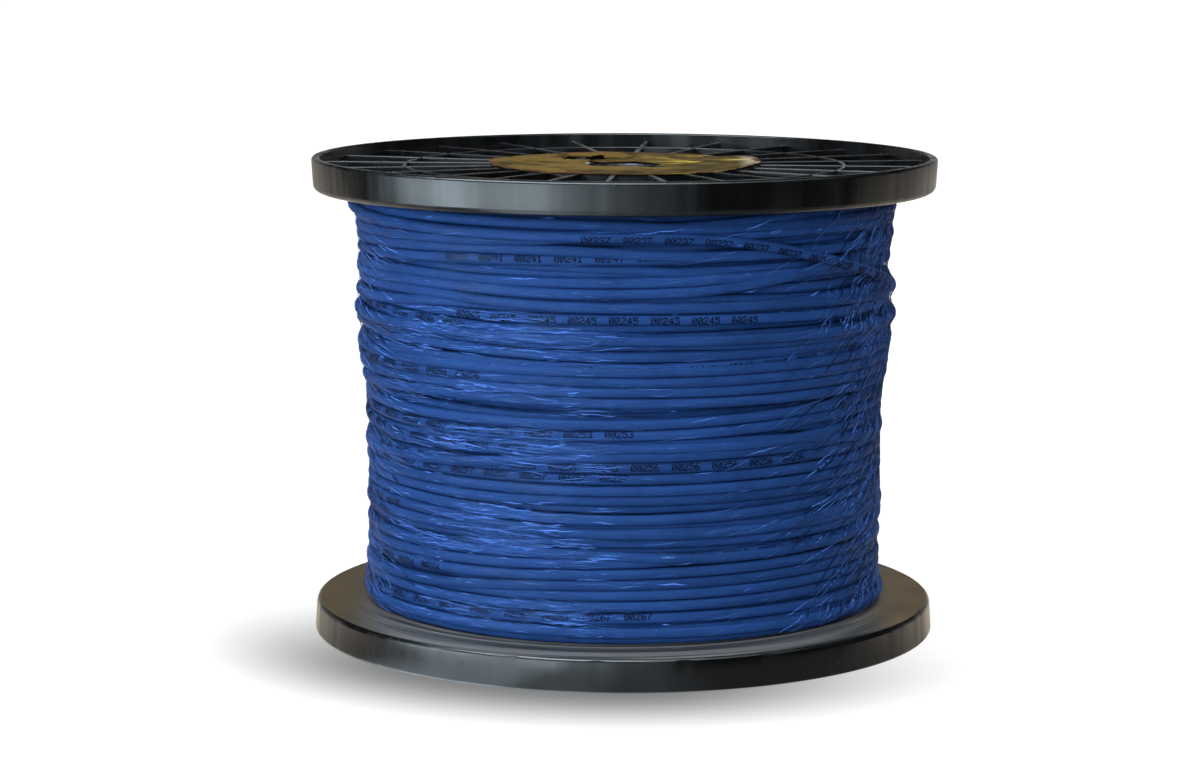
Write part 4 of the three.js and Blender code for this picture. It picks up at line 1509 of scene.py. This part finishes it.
class REEL_OT_film(Operator):
    """Stretch the clear film over the turns"""

    bl_idname = "reel.film"
    bl_label = "Stretch film"

    def execute(self, context):
        settings = context.scene.reel_film
        cable = context.scene.reel_cable
        turns, per_layer = wound_cable()
        shown = turns[2 * per_layer :].copy()
        shown[-1] = 0
        step = 0.0008  # from one ring of points to the next
        chord_lift = 0.00002  # of the points that are put between two bins
        inward = 0.006  # how far the film is turned in at each flange
        hem = 0.0002  # how far the film goes on past its first and last ring
        heights = np.arange(LOWER_FACE + step, UPPER_FACE - step, step)
        reach = cable.radius + settings.clearance
        power = wound_power(cable)
        skin = np.zeros((BINS, len(heights)))
        for lie in shown:
            apart = heights[None, :] - lie[0][:, None]
            bulge = np.maximum(1 - np.abs(apart / reach) ** power, 0) ** (1 / power)
            over = lie[1][:, None] + reach * bulge
            over[np.abs(apart) >= reach] = 0
            skin = np.maximum(skin, over)
        bridged = self.bridged(skin, step, settings.bridging)
        for _ in range(2):
            bridged = (np.roll(bridged, 1, 0) + 2 * bridged + np.roll(bridged, -1, 0)) / 4
        bridged = np.maximum(bridged, skin)
        fine = np.empty((2 * BINS, len(heights)))
        fine[0::2] = bridged
        fine[1::2] = (bridged + np.roll(bridged, -1, 0)) / 2 + chord_lift
        turn = START_ANGLE + np.arange(2 * BINS) * np.pi / BINS
        columns = np.column_stack([fine[:, 0] - inward, fine, fine[:, -1] - inward])
        levels = np.concatenate([heights[:1] - hem, heights, heights[-1:] + hem])
        rings = [
            np.stack([radius * np.cos(turn), radius * np.sin(turn), np.full(len(turn), level)], axis=1)
            for radius, level in zip(columns.T, levels)
        ]
        film = lofted("stretch_film", rings, clear_film())
        film.data.shade_smooth()
        creases = {
            "Density": settings.creases,
            "Length": settings.crease_length,
            "Width": settings.crease_width,
            "Spread": 0.14,
            "Seed": 4,
            "Material": creased_film(),
        }
        self.strew(film, "film_creases", self.crease_marks, creases)
        folds = {
            "Density": settings.folds,
            "Length": settings.fold_length,
            "Width": settings.fold_width,
            "Spread": 0.22,
            "Seed": 9,
            "Material": gathered_film(),
        }
        self.strew(film, "film_folds", self.fold_marks, folds)
        seat(film, "stretch_film")
        return {"FINISHED"}

    def strew(self, film, name, marks, values):
        """Strews ridges over the film as thickly, and leaning as far, as the marks on it say."""
        ridges = new_object(name, [])
        ridges.data = film.data.copy()
        points = np.empty(len(film.data.vertices) * 3, np.float32)
        film.data.vertices.foreach_get("co", points)
        x, y, z = points.reshape(-1, 3).T
        share = (z - LOWER_FACE) / (UPPER_FACE - LOWER_FACE)
        gather, lean = marks(np.arctan2(x, -y), share)
        gather[(share < 0.01) | (share > 0.99)] = 0
        keep_numbers(ridges, "gather", gather)
        keep_numbers(ridges, "lean", lean)
        grow(ridges, creases_tree(), values)
        bake(ridges)
        ridges.data.materials.clear()
        ridges.data.materials.append(values["Material"])
        seat(ridges, "stretch_film")

    def crease_marks(self, side, share):
        """Fine creases: in near level bands at the left, in patches elsewhere, leaning up to the right."""
        rng = np.random.default_rng(11)
        bands = 0.5 + 0.5 * np.sin(38 * share + 2.2 * np.sin(3 * side) + 1.4 * np.sin(11 * share))
        patches = np.zeros(len(side))
        for _ in range(14):
            across, up = rng.uniform(-math.pi, math.pi), rng.uniform(0.08, 0.92)
            off = np.angle(np.exp(1j * (side - across)))
            wide, tall = rng.uniform(0.15, 0.5), rng.uniform(0.03, 0.10)
            patches += np.exp(-((off / wide) ** 2) - ((share - up) / tall) ** 2)
        # The creases carry a painted glint, so the painted highlights gather where they are thickest, at
        # the left front.
        front = eased(side, -1.10, -0.80) * eased(side, 0.02, -0.16) * eased(share, 0.88, 0.70)
        edge = eased(np.abs(side), 0.80, 1.15) * eased(np.abs(side), 1.9, 1.5)
        gather = 0.05 + 1.0 * front * bands**1.5 + 0.30 * patches + 0.40 * edge * (0.4 + bands)
        lean = 0.30 * eased(side, 0.05, 0.6) + 0.35 * eased(side, 0.8, 1.2) - 0.25 * eased(side, -0.8, -1.3)
        lean[side > 2.2] = 0
        return gather, lean

    def fold_marks(self, side, share):
        """Gathered folds: bunched at the right, with a few at the left edge and behind."""
        settings = bpy.context.scene.reel_film
        bunches = 0.35 + 0.65 * np.abs(np.sin(9 * share + 2.0 * side + 1.2 * np.sin(17 * share)))
        # The folds carry painted shade, so it gathers where they bunch, mostly at the right.
        right = eased(side, 0.62, 1.25) * eased(side, 2.3, 1.8)
        left = 0.25 * eased(side, -0.9, -1.3) * eased(side, -2.4, -2.0)
        gather = (right + left) * bunches
        lean = settings.fold_lean * np.where(side > 0, 1.0, -0.6) + 0.25 * np.sin(7 * share + 3 * side)
        return gather, lean

    def bridged(self, skin, step, radius):
        """The skin as far as a ball of the given radius can follow it from outside."""
        reach = int(radius / step)
        offsets = np.arange(-reach, reach + 1)
        ball = np.sqrt(np.maximum(radius**2 - (offsets * step) ** 2, 0)) - radius
        count = skin.shape[1]
        padded = np.pad(skin, ((0, 0), (reach, reach)), mode="edge")
        grown = np.max([padded[:, i : i + count] + ball[i] for i in range(2 * reach + 1)], axis=0)
        padded = np.pad(grown, ((0, 0), (reach, reach)), mode="edge")
        return np.min([padded[:, i : i + count] - ball[i] for i in range(2 * reach + 1)], axis=0)


class REEL_OT_label(Operator):
    """Make the creased paper label"""

    bl_idname = "reel.label"
    bl_label = "Label"

    def execute(self, context):
        settings = context.scene.reel_label
        facing = context.scene.reel_hardware.bolt_start
        rng = np.random.default_rng(5)
        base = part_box("upper_label")[0].z
        edge = self.frayed_edge(settings, rng)
        hole = unit_circle(64) * settings.hole_radius
        x, y = self.tear_outline(settings, rng)
        across = x * math.cos(facing) - y * math.sin(facing)
        up = x * math.sin(facing) + y * math.cos(facing)
        outlines = [edge, hole, np.stack([across, up], 1)]
        flat, faces = self.filled(outlines, self.inner_points(settings, rng))
        kept = []
        for face in faces:
            centre = flat[list(face)].mean(axis=0)
            in_hole = np.hypot(*centre) < settings.hole_radius * 0.999
            local_x = centre[0] * math.cos(facing) + centre[1] * math.sin(facing)
            local_y = centre[1] * math.cos(facing) - centre[0] * math.sin(facing)
            if not in_hole and not self.within(local_x, local_y, x, y):
                kept.append(face)
        rise = self.creases(flat, rng)
        reach = np.hypot(flat[:, 0], flat[:, 1])
        lift = settings.crumple * (rise - rise.mean()) - settings.sag * eased(reach, 0.060, 0.030)
        lift += settings.curl * eased(flat[:, 0], 0.042, 0.066)
        points = np.column_stack([flat, base + lift])
        sheet = new_object("paper_label", points, faces=kept, material=label_paper())
        keep_numbers(sheet, "rise", rise)
        thick = sheet.modifiers.new("thickness", "SOLIDIFY")
        thick.thickness = settings.thickness
        thick.offset = 1.0
        bake(sheet, math.radians(50))
        seat(sheet, "label_paper", "upper_label")
        return {"FINISHED"}

    def frayed_edge(self, settings, rng):
        """The outline of the sheet, worn away a little at the left."""
        depth = 0.03  # of the wear, as a share of the radius
        outline = unit_circle(160)
        left = eased(np.abs(even_turns(160) - math.pi), 0.45, 0.15)
        frayed = 1 - depth * np.abs(rng.normal(size=len(outline))) * left
        return outline * (settings.radius * frayed)[:, None]

    def tear_outline(self, settings, rng):
        """The ragged outline of the tear, its X away from the axis."""
        turn = even_turns(72)
        ragged = 1 + 0.12 * np.sin(5 * turn) + 0.08 * np.cos(2 * turn)
        ragged += 0.05 * rng.normal(size=len(turn))
        x = settings.tear_distance + settings.tear_width / 2 * ragged * np.cos(turn)
        return x, settings.tear_length / 2 * ragged * np.sin(turn)

    def inner_points(self, settings, rng):
        """Points that fill the sheet, each a little off its place in a grid."""
        pitch = 0.0011
        stray = 0.2  # how far a point is off, as a share of the pitch
        grid = np.arange(-settings.radius, settings.radius, pitch)
        points = []
        for y in grid:
            for x in grid:
                if settings.hole_radius + 0.6 * pitch < math.hypot(x, y) < settings.radius * 0.93:
                    x_stray, y_stray = stray * pitch * rng.normal(), stray * pitch * rng.normal()
                    points.append((x + x_stray, y + y_stray))
        return np.array(points)

    def filled(self, outlines, inner_points):
        """Triangles between outlines and points."""
        points = np.concatenate(outlines + [inner_points])
        edges, start = [], 0
        for outline in outlines:
            count = len(outline)
            edges += [(start + i, start + (i + 1) % count) for i in range(count)]
            start += count
        vertices, _, faces, *_ = delaunay_2d_cdt([Vector(p) for p in points], edges, [], 0, 1e-7)
        return np.array([tuple(v) for v in vertices]), faces

    def within(self, px, py, xs, ys):
        """Whether a point lies inside an outline."""
        x2, y2 = np.roll(xs, -1), np.roll(ys, -1)
        crosses = (ys > py) != (y2 > py)
        at = xs + (py - ys) * (x2 - xs) / np.where(y2 == ys, 1e-12, y2 - ys)
        return bool((crosses & (px < at)).sum() % 2)

    def creases(self, flat, rng):
        """How far each point of the sheet is raised by its folds, from 0 to 1."""
        height = np.zeros(len(flat))
        for _ in range(22):
            direction = rng.normal(math.pi / 2, 0.5)
            normal = np.array([math.cos(direction), math.sin(direction)])
            offset = rng.uniform(-0.060, 0.060)
            across = flat @ normal - offset
            along = flat @ np.array([-normal[1], normal[0]]) - rng.uniform(-0.06, 0.06)
            fold = np.exp(-np.abs(across) / rng.uniform(0.0015, 0.005))
            reach = np.exp(-((along / rng.uniform(0.015, 0.040)) ** 2))
            height += rng.choice((-0.8, 1.0)) * rng.uniform(0.4, 1.0) * fold * reach
        height -= height.min()
        return np.clip(height / np.percentile(height, 99.0), 0, 1)


# ---------------------------------------------------------------- stage


class REEL_OT_stage(Operator):
    """Set the camera, the lamps and the floor"""

    bl_idname = "reel.stage"
    bl_label = "Stage"

    def execute(self, context):
        settings = context.scene.reel_stage
        context.scene.view_settings.view_transform = "Standard"
        self.set_camera(context, settings)
        self.set_floor(settings)
        self.set_world(context, settings)
        key = self.set_panel("key_panel", (-0.50, -0.425, 0.30), (0.96, 0.60), settings.key, level=True)
        self.set_card(settings)
        front = self.set_panel("front_panel", (0.35, -2.2, 0.75), (1.6, 1.2), settings.front)
        back = self.set_panel("back_panel", (0.7, 2.0, 0.9), (1.6, 1.2), settings.back)
        for panel in (key, front, back):
            panel.visible_glossy = False
        self.set_panel("overhead_panel", (-0.25, -0.1, 1.7), (1.4, 1.4), settings.overhead)
        return {"FINISHED"}

    def set_camera(self, context, settings):
        """Looks at the reel from the front, a little from above."""
        camera = bpy.data.objects.new("camera", bpy.data.cameras.new("camera"))
        camera.data.lens = settings.lens
        camera.data.sensor_width = 36.0
        camera.data.clip_end = 100.0
        yaw = Matrix.Rotation(settings.yaw, 4, "Z")
        pitch = Matrix.Rotation(math.pi / 2 - settings.pitch, 4, "X")
        roll = Matrix.Rotation(settings.roll, 4, "Z")
        place = Matrix.Translation((0, -settings.distance, settings.height))
        camera.matrix_world = place @ yaw @ pitch @ roll
        context.scene.collection.objects.link(camera)
        context.scene.camera = camera

    def white_share(self, graph, place, mirrored_share, nearest, farthest):
        """How much plain white a ray sees: all for the camera, and in reflections what lies behind."""
        ray = graph.wires("ShaderNodeLightPath")
        mirrored = graph.math("MAXIMUM", ray["Is Glossy Ray"], ray["Is Transmission Ray"])
        behind = graph.ramp(graph.split(place)[1], nearest, farthest, 0.0, mirrored_share)
        return graph.math("MAXIMUM", ray["Is Camera Ray"], mirrored * behind), ray

    def lit_side(self, graph, side, dark=-90, bright=-62):
        """How brightly the left front is lit, by the angle round the axis: it fades in steps."""
        level = graph.ramp(side, math.radians(dark), math.radians(bright))
        for start, end, left in ((-56, -47, 0.72), (-24, -16, 0.38), (-9, 0, 0.40), (2, 22, 0.0)):
            level = level * graph.ramp(side, math.radians(start), math.radians(end), 1.0, left)
        return level

    def set_floor(self, settings):
        """A wide plain floor that keeps the reel's shadow, with a painted contact shade round the foot and
        a painted lit patch at the left that only reflections show.
        """
        paint = Paint("floor")
        side = paint.round_axis(paint.point)
        share, ray = self.white_share(paint, paint.point, settings.mirrored_floor, -0.16, 0.04)
        seen = ray["Is Camera Ray"]
        tint = paint.mix(seen, opaque(settings.table), opaque(settings.floor))
        diffuse = paint.add("ShaderNodeBsdfDiffuse", {"Color": tint})
        away = paint.wire("ShaderNodeVectorMath", {0: paint.point}, "Value", operation="LENGTH")
        # Painted contact shade round the foot, deepest at the front, a little to the left.
        from_front = abs(side + math.radians(20))
        front = paint.ramp(from_front, math.radians(20), math.radians(100), 1.0, 0.1)
        shaded = 1.0 - paint.ramp(away, 0.150, 0.245, settings.contact_shade, 0.0) * front
        distant = paint.ramp(away, 0.30, 1.0, 1.0, settings.far_floor)
        own_light = shaded * seen + distant * (1.0 - seen)
        glow_tint = paint.mix(seen, opaque(settings.mirrored_tint), WHITE)
        glow = paint.add("ShaderNodeEmission", {"Color": glow_tint, "Strength": share * own_light})
        # Painted lit patch: the floor glows at the left, for reflections only.
        lit = self.lit_side(paint, side, -58, -36) * settings.lit_floor
        lit = (lit + 0.07) * ray["Is Glossy Ray"]
        left = paint.add("ShaderNodeEmission", {"Color": opaque(settings.key_tint), "Strength": lit})
        plain = paint.add("ShaderNodeAddShader", {0: diffuse, 1: glow})
        paint.finish(paint.add("ShaderNodeAddShader", {0: plain, 1: left}))
        paint.material.cycles.emission_sampling = "NONE"
        reach = 30.0
        corners = [(-reach, -reach, 0), (reach, -reach, 0), (reach, reach, 0), (-reach, reach, 0)]
        new_object("floor", corners, faces=[(0, 1, 2, 3)], material=paint.material)

    def set_world(self, context, settings):
        """Dim surroundings, white behind the reel and where the camera looks past the floor."""
        world = bpy.data.worlds.new("studio")
        world.use_nodes = True
        world.node_tree.nodes.clear()
        graph = Graph(world.node_tree)
        direction = graph.wire("ShaderNodeTexCoord", output="Generated")
        share, ray = self.white_share(graph, direction, settings.mirrored_white, 0.30, 0.75)
        below = graph.ramp(graph.split(direction)[2], 0.16, 0.28, 1.0, 0.0)
        share = share * graph.math("MAXIMUM", ray["Is Camera Ray"], below)
        strength = graph.math("MAXIMUM", share, ray["Is Diffuse Ray"] * settings.fill)
        strength = graph.math("MAXIMUM", strength, settings.dark_room)
        background = graph.add("ShaderNodeBackground", {"Color": WHITE, "Strength": strength})
        graph.feed(graph.add("ShaderNodeOutputWorld").inputs["Surface"], background)
        context.scene.world = world

    def set_card(self, settings):
        """A tall bent card at the left that only reflections show."""
        paint = Paint("lit_card")
        z = paint.split(paint.point)[2]
        side = paint.round_axis(paint.point)
        streaks = paint.noise(paint.join(side), 7.0, 3.0, 0.6)
        streaky = paint.ramp(streaks, 0.35, 0.60, settings.shown_key * 0.72, settings.shown_key * 1.15)
        fading = paint.ramp(z, 0.20, 0.34, 1.0, 0.0) * streaky
        from_left = paint.ramp(side, math.radians(-100), math.radians(-60))
        to_right = paint.ramp(side, math.radians(-20), math.radians(60), 1.0, 0.12)
        rim_light = paint.ramp(z, 0.50, 0.70, 0.0, settings.high_card) * (from_left * to_right)
        level = self.lit_side(paint, side) * fading + rim_light
        glow = paint.add("ShaderNodeEmission", {"Color": opaque(settings.key_tint), "Strength": level})
        shown = paint.wire("ShaderNodeLightPath", output="Is Glossy Ray")
        clear = paint.add("ShaderNodeBsdfTransparent")
        paint.finish(paint.add("ShaderNodeMixShader", {0: shown, 1: clear, 2: glow}))
        paint.material.cycles.emission_sampling = "NONE"
        turn = np.radians(np.arange(-110, 86, 3))
        reach, card_top = 0.66, 1.25
        foot = [(reach * math.sin(t), -reach * math.cos(t), 0.001) for t in turn]
        top = [(x, y, card_top) for x, y, _ in foot]
        count = len(foot)
        faces = [(i, i + 1, count + i + 1, count + i) for i in range(count - 1)]
        new_object("lit_card", foot + top, faces=faces, material=paint.material)

    def set_panel(self, name, place, size, brightness, level=False):
        """A soft rectangular lamp that faces the reel; brightness is that of its surface."""
        lamp = bpy.data.lights.new(name, "AREA")
        lamp.shape = "RECTANGLE"
        lamp.size, lamp.size_y = size
        lamp.energy = brightness * math.pi * size[0] * size[1]
        obj = bpy.data.objects.new(name, lamp)
        aim = Vector((0, 0, place[2] if level else 0.12)) - Vector(place)
        obj.rotation_euler = aim.to_track_quat("-Z", "Y").to_euler()
        obj.location = place
        obj.visible_camera = False
        bpy.context.scene.collection.objects.link(obj)
        return obj


# ---------------------------------------------------------------- add-on


class REEL_PT_panel(Panel):
    """Lists what can be made"""

    bl_idname = "REEL_PT_panel"
    bl_label = "Cable Reel"
    bl_space_type = "VIEW_3D"
    bl_region_type = "UI"
    bl_category = "Cable Reel"

    def draw(self, context):
        for operator in OPERATORS:
            self.layout.operator(operator.bl_idname)


GROUPS = {
    "reel_flange": FlangeSettings,
    "reel_hardware": HardwareSettings,
    "reel_cable": CableSettings,
    "reel_film": FilmSettings,
    "reel_label": LabelSettings,
    "reel_stage": StageSettings,
}
OPERATORS = (
    REEL_OT_stage,
    REEL_OT_flanges,
    REEL_OT_bushes,
    REEL_OT_fasteners,
    REEL_OT_cable,
    REEL_OT_film,
    REEL_OT_label,
)


def register():
    """Makes the settings, the operators and the panel known."""
    for name, group in GROUPS.items():
        bpy.utils.register_class(group)
        setattr(bpy.types.Scene, name, PointerProperty(type=group))
    for operator in OPERATORS:
        bpy.utils.register_class(operator)
    bpy.utils.register_class(REEL_PT_panel)


def unregister():
    """Takes them away again."""
    bpy.utils.unregister_class(REEL_PT_panel)
    for operator in reversed(OPERATORS):
        bpy.utils.unregister_class(operator)
    for name, group in reversed(GROUPS.items()):
        delattr(bpy.types.Scene, name)
        bpy.utils.unregister_class(group)


def main():
    """Makes every piece and the stage."""
    register()
    for operator in OPERATORS:
        category, name = operator.bl_idname.split(".")
        getattr(getattr(bpy.ops, category), name)()


if __name__ == "__main__":
    main()
